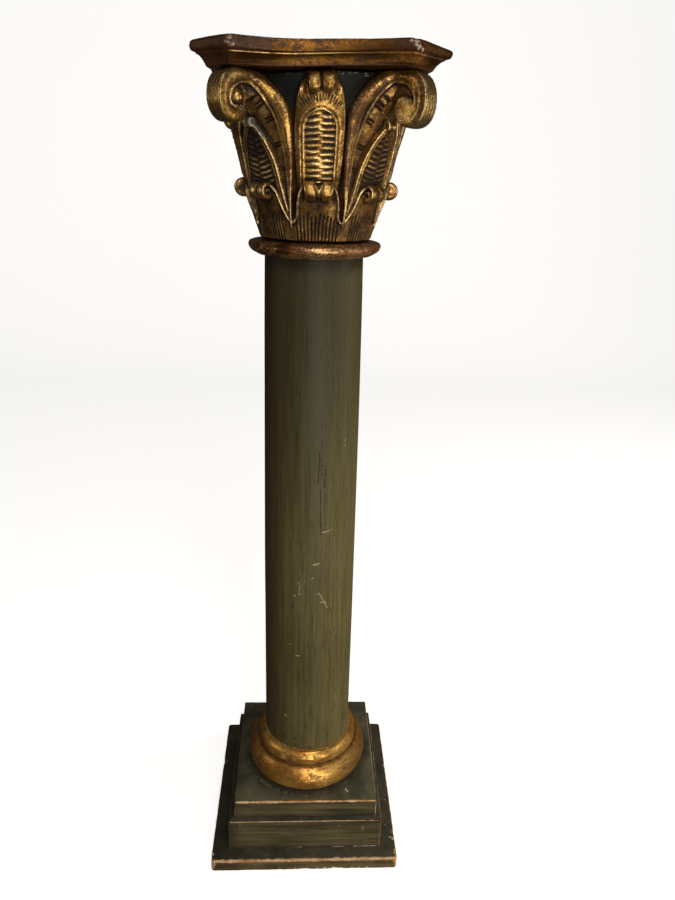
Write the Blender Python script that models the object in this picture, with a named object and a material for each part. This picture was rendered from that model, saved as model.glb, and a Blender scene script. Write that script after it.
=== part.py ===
"""A painted and gilded wooden column: a square plinth in three steps, a turned
gilt base moulding, a plain tapering shaft, a turned necking ring, a carved
capital with two rows of leaves and four corner scrolls, and a moulded abacus
with hollowed sides and cut corners. Metres, +Z up, standing on z = 0."""

import math

import bmesh
import bpy
from mathutils import Matrix, Vector

# ---------------------------------------------------------------- sizes
GAP = 0.0003                     # joint between neighbouring pieces

TOP_LEVEL = 1.1590               # rim of the top before it goes out of level
AXIS_X, AXIS_Y = 0.0009, -0.0054 # the column stands a little forward of the middle of the bottom board
SLAB_HALF, SLAB_DEPTH, SLAB_TOP = 0.1471, 0.1484, 0.0211
BLOCK_HALF, BLOCK_TOP, BLOCK_SHIFT = 0.1208, 0.0780, -0.0008  # each board above it lies a little
STEP_HALF, STEP_TOP, STEP_SHIFT = 0.1121, 0.1100, -0.0003     # off the axis, to the left
STEP_DEPTH, STEP_BACK = 0.1132, 0.0011
EDGE_ROUND = 0.0016              # worn arris of the plinth boards

BASE_TOP = 0.1740                # turned base moulding
BASE_PROFILE = (                 # radius, height, from the foot upwards
    (0.0800, 0.1100), (0.0890, 0.1118), (0.0945, 0.1162), (0.0967, 0.1230),
    (0.0967, 0.1305), (0.0940, 0.1405), (0.0880, 0.1492), (0.0790, 0.1530),
    (0.0803, 0.1570), (0.0798, 0.1630), (0.0765, 0.1692), (0.0700, 0.1740),
)

SHAFT_PROFILE = (                # radius, height: slight swelling, then a taper
    (0.0685, 0.1740), (0.0683, 0.3070), (0.0676, 0.5070),
    (0.0664, 0.7070), (0.0650, 0.8570), (0.0638, 0.9340),
)

RING_PROFILE = (                 # radius, height: full above, sloping in below, with a seat on top
    (0.0730, 0.9327), (0.0775, 0.9345), (0.0818, 0.9374), (0.0846, 0.9412),
    (0.0855, 0.9443), (0.0846, 0.9476), (0.0822, 0.9496), (0.0765, 0.9507),
    (0.0702, 0.9520), (0.0690, 0.9522), (0.0690, 0.9540),
)
BASE_LEAN = (0.0012, 0.0012)     # how far each turned piece lies to the right of the axis, foot and top
SHAFT_LEAN = (0.0012, -0.0012)
RING_LEAN = (-0.0006, -0.0006)

BELL_PROFILE = (                 # radius, height: collar of the lower leaves, then the bell
    (0.0708, 0.9545), (0.0776, 0.9742), (0.0730, 0.9762), (0.0805, 1.0370),
    (0.0870, 1.0820), (0.0975, 1.1190), (0.0985, 1.1329),
)

# lower leaves: surface radius by height, then a rolled tip
LOW_SURFACE = ((0.9710, 0.0762), (0.9760, 0.0781), (0.9890, 0.0828), (1.0010, 0.0880), (1.0110, 0.0905))
LOW_FACE_ANGLE = (22.0, 21.4, 17.3, 14.6, 12.9)      # half width in degrees, leaves on the faces
LOW_CORNER_ANGLE = (21.8, 21.2, 17.0, 12.6, 7.5)     # half width in degrees, leaves on the corners
FACE_CURL = dict(r=0.0905, z=1.0113, half=0.0210, radius=0.0112)
CORNER_CURL = dict(r=0.0925, z=1.0100, half=0.0125, radius=0.0098)

# tall leaf in the middle of each face: height, half width, front surface
FACE_LEAF = (
    (1.0110, 0.0215, 0.0860), (1.0270, 0.0250, 0.0935), (1.0540, 0.0272, 0.0990),
    (1.0770, 0.0278, 0.1055), (1.0950, 0.0270, 0.1098), (1.1100, 0.0235, 0.1115),
    (1.1220, 0.0175, 0.1105),
)
TOP_CURL = dict(r=0.1065, z=1.1190, half=0.0190, radius=0.0112)

# leaf on each corner below the scroll: height, half width, front surface
CORNER_LEAF = (
    (0.9790, 0.0285, 0.0775), (1.0190, 0.0276, 0.0905), (1.0370, 0.0260, 0.0960),
    (1.0550, 0.0215, 0.1020), (1.0690, 0.0150, 0.1068), (1.0850, 0.0030, 0.1125),
)

# big leaf that carries the scroll: height, half width, side depth, middle depth
SCROLL_LEAF = (
    (0.9770, 0.0300, 0.0690, 0.0760), (1.0070, 0.0360, 0.0730, 0.0800),
    (1.0370, 0.0405, 0.0775, 0.0845), (1.0670, 0.0430, 0.0820, 0.0910),
    (1.0870, 0.0415, 0.0850, 0.0980), (1.1020, 0.0375, 0.0890, 0.1060),
    (1.1150, 0.0300, 0.0930, 0.1140), (1.1250, 0.0210, 0.0980, 0.1200),
    (1.1310, 0.0120, 0.1030, 0.1230),
)
# rounded band along each side of it: outward, sideways, height, half thickness
BAND = (
    (0.0705, 0.0300, 0.9750, 0.0024), (0.0775, 0.0355, 1.0020, 0.0046),
    (0.0815, 0.0395, 1.0320, 0.0062), (0.0860, 0.0405, 1.0620, 0.0076),
    (0.0905, 0.0370, 1.0870, 0.0086), (0.0960, 0.0300, 1.1035, 0.0090),
    (0.1040, 0.0205, 1.1155, 0.0088), (0.1150, 0.0115, 1.1218, 0.0084),
    (0.1275, 0.0060, 1.1235, 0.0078),
)
SCROLL_HALF = 0.0118             # half thickness of the scroll across the diagonal
SCROLL_CENTRE = (0.1380, 1.1048) # outward along the diagonal, height
SCROLL_R, SCROLL_R_END = 0.0276, 0.0080
SCROLL_BAND = 0.0160             # thickness of the rolled band
SCROLL_TURN = 370.0              # degrees rolled from the top of the bell

# abacus: inset from the lip and height, bottom to top
ABACUS_HALF, ABACUS_CUT = 0.1406, 0.0448
ABACUS_PROFILE = (
    (0.0195, 1.1332), (0.0178, 1.1355), (0.0152, 1.1388), (0.0112, 1.1420),
    (0.0075, 1.1434), (0.0072, 1.1448), (0.0042, 1.1452), (0.0014, 1.1480),
    (0.0000, 1.1528), (0.0010, 1.1577), (0.0030, TOP_LEVEL),
)
ABACUS_SHIFT = 0.0017            # the lip reaches further to the right than to the left
ABACUS_HOLLOW = (0.0045, 0.0160) # how far each side is hollowed, bottom and lip
ABACUS_STEPS = 8

# the abacus rises to the right, its right end droops, and the top of the carving follows it
LIFT, RISE = 0.0022, 0.029       # lift on the axis, and rise for each metre to the right
LIFT_FROM, LIFT_FULL = 1.067, 1.127
LOWERED = (                      # height, then (sideways, drop) in thousandths along it
    (1.1332, ((85.0, 0.0), (145.0, 5.4))),
    (1.1450, ((-140.0, -2.4), (-120.0, -2.0), (-100.0, -0.4), (-90.0, 0.0), (60.0, 0.0),
              (90.0, 0.8), (112.0, 2.1), (123.0, 2.7), (142.0, 3.3))),
    (1.1590, ((-140.0, 0.4), (-100.0, -0.6), (-60.0, 0.3), (60.0, 2.1), (88.0, 1.9), (100.0, 2.5),
              (106.0, 3.4), (112.0, 4.3), (123.0, 5.7), (142.0, 8.2))),
)

ROUND = 40                       # facets of the turned pieces
BELL_ROUND = 32
CAPITAL_FACETS = 0.69            # share of the carving's facets that is kept


# ---------------------------------------------------------------- helpers
def clear_scene():
    for obj in list(bpy.data.objects):
        bpy.data.objects.remove(obj, do_unlink=True)
    for mesh in list(bpy.data.meshes):
        bpy.data.meshes.remove(mesh)


def paint(name, colour, roughness, metallic=0.0):
    mat = bpy.data.materials.new(name)
    mat.use_nodes = True
    shader = mat.node_tree.nodes["Principled BSDF"]
    shader.inputs["Base Color"].default_value = (*colour, 1.0)
    shader.inputs["Roughness"].default_value = roughness
    shader.inputs["Metallic"].default_value = metallic
    mat.diffuse_color = (*colour, 1.0)
    return mat


def add_object(name, bm, mat, smooth=False):
    settle(bm)
    bmesh.ops.remove_doubles(bm, verts=bm.verts, dist=1e-6)
    bmesh.ops.recalc_face_normals(bm, faces=bm.faces)
    mesh = bpy.data.meshes.new(name)
    bm.to_mesh(mesh)
    bm.free()
    for face in mesh.polygons:
        face.use_smooth = smooth
    mesh.materials.append(mat)
    obj = bpy.data.objects.new(name, mesh)
    bpy.context.scene.collection.objects.link(obj)
    return obj


def loft(bm, rings, closed=False):
    """Join closed rings of equal length with quads; cap the ends unless closed."""
    rows = [[bm.verts.new(p) for p in ring] for ring in rings]
    count = len(rows[0])
    last = len(rows) if closed else len(rows) - 1
    for i in range(last):
        a, b = rows[i], rows[(i + 1) % len(rows)]
        for k in range(count):
            n = (k + 1) % count
            bm.faces.new((a[k], a[n], b[n], b[k]))
    if not closed:
        bm.faces.new(rows[0][::-1])
        bm.faces.new(rows[-1])
    return rows


def turned(name, profile, mat, lean, segments=ROUND):
    """Spin an open profile, listed upwards, close it at the axis and lean it sideways."""
    bm = bmesh.new()
    points = [(0.0, profile[0][1])] + list(profile) + [(0.0, profile[-1][1])]
    verts = [bm.verts.new((r, 0.0, z)) for r, z in points]
    edges = [bm.edges.new(pair) for pair in zip(verts, verts[1:])]
    bmesh.ops.spin(bm, geom=verts + edges, cent=(0, 0, 0), axis=(0, 0, 1),
                   angle=math.tau, steps=segments, use_merge=True)
    low, high = profile[0][1], profile[-1][1]
    for v in bm.verts:
        v.co.x += lean[0] + (lean[1] - lean[0]) * (v.co.z - low) / (high - low)
    return add_object(name, bm, mat, smooth=True)


def board(name, half, depth, shift, bottom, top, mat):
    """A board with its worn arrises bevelled, shifted by a hand's error."""
    bm = bmesh.new()
    bmesh.ops.create_cube(bm, size=1.0)
    for v in bm.verts:
        v.co = Vector((v.co.x * 2 * half + shift[0], v.co.y * 2 * depth + shift[1],
                       bottom + (v.co.z + 0.5) * (top - bottom)))
    obj = add_object(name, bm, mat)
    bevel = obj.modifiers.new("worn_edges", "BEVEL")
    bevel.width = EDGE_ROUND
    bevel.segments = 2
    bevel.limit_method = "ANGLE"
    return obj


def blend(table, x):
    """Read a table of (x, y) rows by straight lines."""
    if x <= table[0][0]:
        return table[0][1]
    for (x0, y0), (x1, y1) in zip(table, table[1:]):
        if x <= x1:
            return y0 + (y1 - y0) * (x - x0) / (x1 - x0)
    return table[-1][1]


def bell_radius(z):
    return blend([(h, r) for r, h in BELL_PROFILE], z)


def at_azimuth(angle):
    """Matrix that takes (outward, sideways, up) to a place on the capital."""
    a = math.radians(angle)
    out = Vector((math.sin(a), -math.cos(a), 0.0))
    side = Vector((math.cos(a), math.sin(a), 0.0))
    return Matrix(((out.x, side.x, 0.0, 0.0), (out.y, side.y, 0.0, 0.0),
                   (0.0, 0.0, 1.0, 0.0), (0.0, 0.0, 0.0, 1.0)))


def drop(x, z):
    """How far a point near the top lies below the rise."""
    x *= 1000.0
    rows = [blend(row, x) for _, row in LOWERED]
    return 0.001 * blend([(height, low) for (height, _), low in zip(LOWERED, rows)], z)


def settle(bm):
    """Take the points near the top out of level, and move the column to its place on the bottom board."""
    if max(v.co.z for v in bm.verts) > LIFT_FULL:
        # an edge where the droop begins keeps the abacus and the carving flat against each other
        fold = LOWERED[0][1][0][0] / 1000.0
        bmesh.ops.bisect_plane(bm, geom=bm.verts[:] + bm.edges[:] + bm.faces[:], dist=1e-6,
                               plane_co=(fold, 0.0, 0.0), plane_no=(1.0, 0.0, 0.0))
    for v in bm.verts:
        t = min(max((v.co.z - LIFT_FROM) / (LIFT_FULL - LIFT_FROM), 0.0), 1.0)
        v.co.z += t * t * (3.0 - 2.0 * t) * (LIFT + RISE * v.co.x - drop(v.co.x, v.co.z))
        v.co.x += AXIS_X
        v.co.y += AXIS_Y


# ---------------------------------------------------------------- carving
def low_leaf(bm, place, half_angles):
    """Lower leaf: a curved plate against the bell."""
    rings = []
    for (z, r), half in zip(LOW_SURFACE, half_angles):
        back = bell_radius(z) - 0.006
        outer = [math.radians(half * k) for k in (-1.0, -0.5, 0.0, 0.5, 1.0)]
        inner = [math.radians(half * k) for k in (0.8, 0.0, -0.8)]
        ring = [(r * math.cos(a), r * math.sin(a), z) for a in outer]
        ring += [(back * math.cos(a), back * math.sin(a), z) for a in inner]
        rings.append([place @ Vector(p) for p in ring])
    loft(bm, rings)


def curl(bm, place, r, z, half, radius, facets=8):
    """Rolled leaf tip: two rounded lobes side by side with a notch between."""
    stations = ((-1.0, 0.84), (-0.52, 1.0), (0.0, 0.76), (0.52, 1.0), (1.0, 0.84))
    rings = []
    for t, k in stations:
        ring = []
        for i in range(facets):
            a = math.tau * (i + 0.5) / facets
            ring.append(place @ Vector((r + radius * k * math.cos(a), half * t,
                                        z + radius * k * math.sin(a))))
        rings.append(ring)
    loft(bm, rings)


def plate_leaf(bm, place, table, crown):
    """Upright leaf with a crowned front, from rows of height, half width, front."""
    rings = []
    for z, half, front in table:
        back = bell_radius(z) - 0.012
        ring = [(front - crown * k * k, half * k, z) for k in (-1.0, -0.55, 0.0, 0.55, 1.0)]
        ring += [(back, half * k, z) for k in (0.9, 0.0, -0.9)]
        rings.append([place @ Vector(p) for p in ring])
    loft(bm, rings)


def scroll_leaf(bm, place):
    rings = []
    for z, half, side, middle in SCROLL_LEAF:
        ring = [(side, -half, z), (0.35 * side + 0.65 * middle, -half * 0.5, z), (middle, 0.0, z),
                (0.35 * side + 0.65 * middle, half * 0.5, z), (side, half, z),
                (0.060, half * 0.8, z), (0.060, -half * 0.8, z)]
        rings.append([place @ Vector(p) for p in ring])
    loft(bm, rings)


def band(bm, place, sign, facets=6):
    """Rounded band swept along one side of the scroll leaf."""
    path = [Vector((u, sign * h, z)) for u, h, z, _ in BAND]
    rings = []
    for i, point in enumerate(path):
        before = path[max(i - 1, 0)]
        after = path[min(i + 1, len(path) - 1)]
        along = (after - before).normalized()
        out = Vector((1.0, sign * 0.35, 0.0)).normalized()
        across = along.cross(out).normalized()
        out = across.cross(along).normalized()
        t = BAND[i][3]
        ring = []
        for k in range(facets):
            a = math.tau * k / facets
            ring.append(place @ (point + out * (0.75 * t * math.cos(a)) + across * (t * math.sin(a))))
        rings.append(ring)
    loft(bm, rings)


def scroll(bm, place, steps=18):
    """Rolled end of the big leaf: a band of even thickness wound in a spiral."""
    cu, cz = SCROLL_CENTRE
    half, chamfer = SCROLL_HALF, 0.0035
    rings = []
    for i in range(steps + 1):
        s = i / steps
        a = math.radians(118.0 - SCROLL_TURN * s)
        outer = SCROLL_R + (SCROLL_R_END - SCROLL_R) * s ** 2.2
        inner = max(outer - SCROLL_BAND * (1.0 - 0.72 * s), 0.0012)
        ring = []
        for rr, hh in ((inner, -half), (outer - chamfer * (1 - 0.6 * s), -half),
                       (outer, -half + chamfer), (outer, half - chamfer),
                       (outer - chamfer * (1 - 0.6 * s), half), (inner, half)):
            ring.append(place @ Vector((cu + rr * math.cos(a), hh, cz + rr * math.sin(a))))
        rings.append(ring)
    loft(bm, rings)


def boss(bm, place, radius, half, n):
    """A flat drum on the axis of the scroll: its sunk field, or the boss at its eye."""
    cu, cz = SCROLL_CENTRE
    rings = []
    for h, k in ((-half, 0.8), (-half + 0.002, 1.0), (half - 0.002, 1.0), (half, 0.8)):
        rings.append([place @ Vector((cu - 0.002 + radius * k * math.cos(math.tau * (i + 0.5) / n), h,
                                      cz - 0.001 + radius * k * math.sin(math.tau * (i + 0.5) / n)))
                      for i in range(n)])
    loft(bm, rings)


def helper(name, build, mat, collection):
    bm = bmesh.new()
    build(bm)
    bmesh.ops.triangulate(bm, faces=bm.faces, quad_method="SHORT_EDGE")
    obj = add_object(name, bm, mat)
    bpy.context.scene.collection.objects.unlink(obj)
    collection.objects.link(obj)
    obj.hide_render = True
    obj.display_type = "WIRE"
    return obj


def make_capital(mat):
    body = turned("capital", BELL_PROFILE, mat, (0.0, 0.0), BELL_ROUND)
    carving = bpy.data.collections.new("carving")
    bpy.context.scene.collection.children.link(carving)
    for i in range(8):
        place = at_azimuth(45.0 * i)
        on_face = i % 2 == 0
        angles = LOW_FACE_ANGLE if on_face else LOW_CORNER_ANGLE
        tip = FACE_CURL if on_face else CORNER_CURL
        helper(f"low_leaf_{i}", lambda bm: low_leaf(bm, place, angles), mat, carving)
        helper(f"low_curl_{i}", lambda bm: curl(bm, place, **tip), mat, carving)
    for i in range(4):
        place = at_azimuth(90.0 * i)
        helper(f"face_leaf_{i}", lambda bm: plate_leaf(bm, place, FACE_LEAF, 0.0035), mat, carving)
        helper(f"top_curl_{i}", lambda bm: curl(bm, place, **TOP_CURL), mat, carving)
    for i in range(4):
        place = at_azimuth(90.0 * i + 45.0)
        helper(f"corner_leaf_{i}", lambda bm: plate_leaf(bm, place, CORNER_LEAF, 0.0040), mat, carving)
        helper(f"scroll_leaf_{i}", lambda bm: scroll_leaf(bm, place), mat, carving)
        helper(f"band_left_{i}", lambda bm: band(bm, place, -1.0), mat, carving)
        helper(f"band_right_{i}", lambda bm: band(bm, place, 1.0), mat, carving)
        helper(f"scroll_{i}", lambda bm: scroll(bm, place), mat, carving)
        helper(f"scroll_field_{i}", lambda bm: boss(bm, place, SCROLL_R - 0.0115, SCROLL_HALF - 0.0045, 12),
               mat, carving)
        helper(f"scroll_eye_{i}", lambda bm: boss(bm, place, 0.0072, SCROLL_HALF + 0.001, 8), mat, carving)
    union = body.modifiers.new("carving", "BOOLEAN")
    union.operation = "UNION"
    union.operand_type = "COLLECTION"
    union.collection = carving
    union.solver = "MANIFOLD"
    thin = body.modifiers.new("even_facets", "DECIMATE")
    thin.decimate_type = "COLLAPSE"
    thin.ratio = CAPITAL_FACETS
    return body


# ---------------------------------------------------------------- abacus
def abacus_ring(inset, z):
    """Plan of the abacus at one height: four hollowed sides and four cut corners."""
    half = ABACUS_HALF - inset
    cut = ABACUS_CUT - inset * 1.0103
    share = 1.0 - inset / ABACUS_PROFILE[0][0]
    hollow = ABACUS_HOLLOW[0] + (ABACUS_HOLLOW[1] - ABACUS_HOLLOW[0]) * share
    reach = half - cut
    ring = []
    for side in range(4):
        turn = Matrix.Rotation(math.radians(90.0 * side), 3, "Z")
        for k in range(ABACUS_STEPS + 1):
            t = -1.0 + 2.0 * k / ABACUS_STEPS
            point = turn @ Vector((reach * t, -half + hollow * (1.0 - t * t), z))
            ring.append(point + Vector((ABACUS_SHIFT * share, 0.0, 0.0)))
    return ring


def make_abacus(mat):
    bm = bmesh.new()
    rings = [abacus_ring(inset, z) for inset, z in ABACUS_PROFILE]
    rings.append([Vector((p.x * 0.42, p.y * 0.42, p.z)) for p in rings[-1]])
    loft(bm, rings)
    return add_object("abacus", bm, mat)


# ---------------------------------------------------------------- build
def main():
    clear_scene()
    green = paint("green_paint", (0.060, 0.053, 0.027), 0.55)
    dark_green = paint("dark_green_paint", (0.028, 0.027, 0.018), 0.55)
    gold = paint("antique_gilding", (0.46, 0.27, 0.07), 0.38, 0.75)
    bole = paint("red_gold_gilding", (0.26, 0.10, 0.035), 0.42, 0.55)
    carved = paint("carved_gilding", (0.33, 0.19, 0.055), 0.45, 0.65)

    board("plinth_slab", SLAB_HALF, SLAB_DEPTH, (-AXIS_X, -AXIS_Y), 0.0, SLAB_TOP - GAP, dark_green)
    board("plinth_block", BLOCK_HALF, BLOCK_HALF, (BLOCK_SHIFT, 0.0), SLAB_TOP, BLOCK_TOP - GAP, green)
    board("plinth_step", STEP_HALF, STEP_DEPTH, (STEP_SHIFT, STEP_BACK), BLOCK_TOP, STEP_TOP - GAP, dark_green)

    base = [(r, z) for r, z in BASE_PROFILE]
    base[-1] = (base[-1][0], BASE_TOP - GAP)
    turned("base_moulding", base, gold, BASE_LEAN)

    shaft = [(r, z) for r, z in SHAFT_PROFILE]
    shaft[-1] = (shaft[-1][0], RING_PROFILE[0][1] - GAP)
    turned("shaft", shaft, green, SHAFT_LEAN)
    turned("necking_ring", list(RING_PROFILE), bole, RING_LEAN)

    make_capital(carved)
    make_abacus(gold)


main()
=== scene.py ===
import math
import bpy
import numpy as np
from mathutils import Matrix, Vector


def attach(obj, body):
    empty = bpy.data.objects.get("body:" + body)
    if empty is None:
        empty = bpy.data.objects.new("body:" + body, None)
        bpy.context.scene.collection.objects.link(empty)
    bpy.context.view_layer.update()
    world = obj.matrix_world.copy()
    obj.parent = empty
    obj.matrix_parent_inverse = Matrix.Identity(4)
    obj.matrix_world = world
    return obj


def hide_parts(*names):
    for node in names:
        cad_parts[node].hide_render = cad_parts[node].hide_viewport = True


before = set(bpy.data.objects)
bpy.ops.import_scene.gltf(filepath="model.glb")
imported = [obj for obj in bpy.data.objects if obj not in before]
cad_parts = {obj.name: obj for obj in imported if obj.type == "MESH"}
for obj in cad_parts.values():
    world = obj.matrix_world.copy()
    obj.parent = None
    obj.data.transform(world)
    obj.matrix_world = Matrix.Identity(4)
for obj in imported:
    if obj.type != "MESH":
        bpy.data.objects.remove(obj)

# places in this script are given from a point on the column's axis, this far above the floor:
# the axis lies a little forward of the middle of the bottom board
DATUM = 0.0070
SHIFT_X, SHIFT_Y = 0.0009, -0.0054

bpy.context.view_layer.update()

# ------------------------------------------------------------ camera, lights, floor
scene = bpy.context.scene
scene.view_settings.view_transform = "Standard"
scene.view_settings.look = "None"
scene.view_settings.exposure = 0.0


def add(name, data):
    obj = bpy.data.objects.new(name, data)
    scene.collection.objects.link(obj)
    return obj


def make_camera():
    cam = bpy.data.cameras.new("camera")
    cam.lens = 28.546
    cam.sensor_width = 36.0
    cam.sensor_fit = "AUTO"
    cam.clip_start = 0.01
    cam.clip_end = 50.0
    obj = add("camera", cam)
    right = Vector((0.99853, -0.04441404, 0.03106828))
    up = Vector((-0.0125741, 0.36774375, 0.92984215))
    ahead = Vector((0.05272321, 0.92886593, -0.3666447))
    place = Vector((-0.01663466 + SHIFT_X, -0.95279392 + SHIFT_Y, 1.0291 + DATUM))
    obj.matrix_world = Matrix((
        (right.x, up.x, -ahead.x, place.x),
        (right.y, up.y, -ahead.y, place.y),
        (right.z, up.z, -ahead.z, place.z),
        (0.0, 0.0, 0.0, 1.0)))
    scene.camera = obj


def area_light(name, place, target, size, power, colour=(1.0, 1.0, 1.0), size_y=None, gloss=True, wash=True):
    light = bpy.data.lights.new(name, "AREA")
    light.shape = "RECTANGLE"
    light.size = size
    light.size_y = size_y or size
    light.energy = power
    light.color = colour
    obj = add(name, light)
    obj.location = place
    obj.rotation_euler = (Vector(target) - Vector(place)).to_track_quat("-Z", "Y").to_euler()
    obj.visible_glossy = gloss
    obj.visible_diffuse = wash


def make_lights():
    # the broad key is in two parts, and only the weaker one shows as a reflection
    area_light("key", (2.40, 0.05, 0.70), (0.0, 0.0, 0.50), 1.0, 30.0, (1.0, 0.95, 0.86), 1.5, gloss=False)
    area_light("key_gloss", (2.25, -0.70, 0.75), (0.0, 0.0, 0.50), 1.0, 13.0, (1.0, 0.94, 0.84), 1.5)
    area_light("front", (0.40, -2.7, 1.00), (0.0, 0.0, 0.45), 1.0, 17.0, (1.0, 0.96, 0.88), 1.6)
    area_light("front_gloss", (0.15, -2.2, 1.55), (0.0, 0.0, 0.95), 0.55, 7.0, (1.0, 0.95, 0.84), 0.5, wash=False)
    area_light("above", (0.20, -1.7, 2.9), (0.0, 0.0, 0.40), 1.0, 18.0, (1.0, 0.96, 0.90))
    area_light("low", (0.50, -1.55, 0.16), (0.0, 0.0, 0.40), 1.1, 10.0, (1.0, 0.95, 0.87), 0.6)
    area_light("left", (-2.4, -0.5, 1.0), (0.0, 0.0, 0.5), 0.7, 1.2, (1.0, 0.78, 0.52), 1.6)
    area_light("left_gloss", (-2.4, -0.55, 1.25), (0.0, 0.0, 0.9), 0.9, 6.0, (1.0, 0.88, 0.68), 1.0, wash=False)
    world = bpy.data.worlds.new("studio")
    scene.world = world
    world.use_nodes = True
    sky = world.node_tree.nodes["Background"]
    sky.inputs["Color"].default_value = (1.0, 0.88, 0.70, 1.0)
    sky.inputs["Strength"].default_value = 0.055


def make_stage(material):
    """Pale floor that rises at the back in one sweep."""
    verts, faces = [], []
    line = [(-6.0, 0.0), (2.6, 0.0)]
    for k in range(1, 13):
        a = math.radians(90.0 * k / 12)
        line.append((2.6 + 1.2 * math.sin(a), 1.2 - 1.2 * math.cos(a)))
    line.append((3.8, 6.0))
    for y, z in line:
        verts += [(-7.0, y, z), (7.0, y, z)]
    for k in range(len(line) - 1):
        faces.append((2 * k, 2 * k + 1, 2 * k + 3, 2 * k + 2))
    me = bpy.data.meshes.new("floor")
    me.from_pydata(verts, [], faces)
    me.shade_smooth()
    me.materials.append(material)
    obj = add("floor", me)
    # the soft boxes light the column, and the floor sends no light back up at it
    obj.visible_diffuse = False
    obj.visible_glossy = False


# ------------------------------------------------------------ numbers that look made by hand
def lattice(i, j, k, seed):
    h = (i * 374761393 + j * 668265263 + k * 1274126177 + seed * 362437) & 0xFFFFFFFF
    h = ((h ^ (h >> 13)) * 1103515245) & 0xFFFFFFFF
    h = ((h ^ (h >> 16)) * 2246822519) & 0xFFFFFFFF
    h = h ^ (h >> 15)
    return (h & 0xFFFF) / 32767.5 - 1.0


def noise3(x, y, z, size, seed=0):
    """Smooth noise from -1 to 1 with features about `size` apart."""
    x, y, z = np.asarray(x, float) / size, np.asarray(y, float) / size, np.asarray(z, float) / size
    x, y, z = np.broadcast_arrays(x, y, z)
    i, j, k = np.floor(x).astype(np.int64), np.floor(y).astype(np.int64), np.floor(z).astype(np.int64)
    a, b, c = x - i, y - j, z - k
    a, b, c = [t * t * t * (t * (6 * t - 15) + 10) for t in (a, b, c)]
    out = 0.0
    for di, wa in ((0, 1 - a), (1, a)):
        for dj, wb in ((0, 1 - b), (1, b)):
            for dk, wc in ((0, 1 - c), (1, c)):
                out = out + wa * wb * wc * lattice(i + di, j + dj, k + dk, seed)
    return out


LOWERED = (
    (1126.2, ((81.0, 0.0), (89.0, 0.35), (145.0, 5.6))),
    (1138.0, ((-142.0, -2.4), (-120.0, -2.0), (-100.0, -0.4), (-90.0, 0.0), (60.0, 0.0), (90.0, 0.8), (112.0, 2.2), (123.0, 2.8), (142.0, 3.5))),
    (1152.0, ((-142.0, 0.5), (-100.0, -0.5), (-60.0, 0.4), (0.0, 1.5), (60.0, 2.2), (88.0, 2.0), (100.0, 2.6), (106.0, 3.5), (112.0, 4.4), (123.0, 5.9), (142.0, 8.4))),
)


def out_of_level(x, z):
    """Lift in millimetres of a point near the top: the abacus rises to the right, and the carving follows it."""
    bend = -1.5 * np.exp(-((x + 38.0) / 42.0) ** 2)
    # the right end droops, and the lip is thinner towards both ends
    a, b, c = [np.interp(x, [r[0] for r in rows], [r[1] for r in rows]) for _, rows in LOWERED]
    u = np.clip((z - 1126.2) / 11.8, 0.0, 1.0)
    v = np.clip((z - 1138.0) / 14.0, 0.0, 1.0)
    low = a + (b - a) * u + (c - b) * v
    return step(z, 1060.0, 1120.0) * (2.2 + 0.029 * x + bend - low)


def noise_sum(x, y, z, size, seed=0, levels=3):
    out, gain, total = 0.0, 1.0, 0.0
    for n in range(levels):
        out = out + gain * noise3(x, y, z, size / 2 ** n, seed + 17 * n)
        total += gain
        gain *= 0.55
    return out / total


def mesh_of(name, verts, quads, smooth=True):
    """A mesh from arrays of points in metres and of four corners a face."""
    me = bpy.data.meshes.new(name)
    me.vertices.add(len(verts))
    me.vertices.foreach_set("co", (np.asarray(verts, float) + np.array([SHIFT_X, SHIFT_Y, DATUM])).astype(np.float32).ravel())
    me.loops.add(len(quads) * 4)
    me.loops.foreach_set("vertex_index", np.asarray(quads, np.int32).ravel())
    me.polygons.add(len(quads))
    me.polygons.foreach_set("loop_start", np.arange(0, len(quads) * 4, 4, dtype=np.int32))
    me.update(calc_edges=True)
    me.validate()
    if smooth:
        me.shade_smooth()
    return me


def piece(name, me, material, node):
    me.materials.clear()
    me.materials.append(material)
    obj = add(name, me)
    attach(obj, "root")
    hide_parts(node)
    return obj


def put_attribute(me, name, values):
    at = me.attributes.get(name) or me.attributes.new(name, "FLOAT", "POINT")
    at.data.foreach_set("value", np.asarray(values, np.float32).ravel())


# ------------------------------------------------------------ small tools
def soft_max(a, b, k):
    d = np.clip(0.5 + 0.5 * (a - b) / k, 0.0, 1.0)
    return b + (a - b) * d + k * d * (1.0 - d)

def soft_min(a, b, k):
    return -soft_max(-a, -b, k)

def step(x, lo, hi):
    t = np.clip((x - lo) / (hi - lo), 0.0, 1.0)
    return t * t * (3.0 - 2.0 * t)

def bump(x, w):
    """1 at x = 0, 0 beyond |x| = w, smooth."""
    t = np.clip(1.0 - (x / w) ** 2, 0.0, 1.0)
    return t * t

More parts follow.
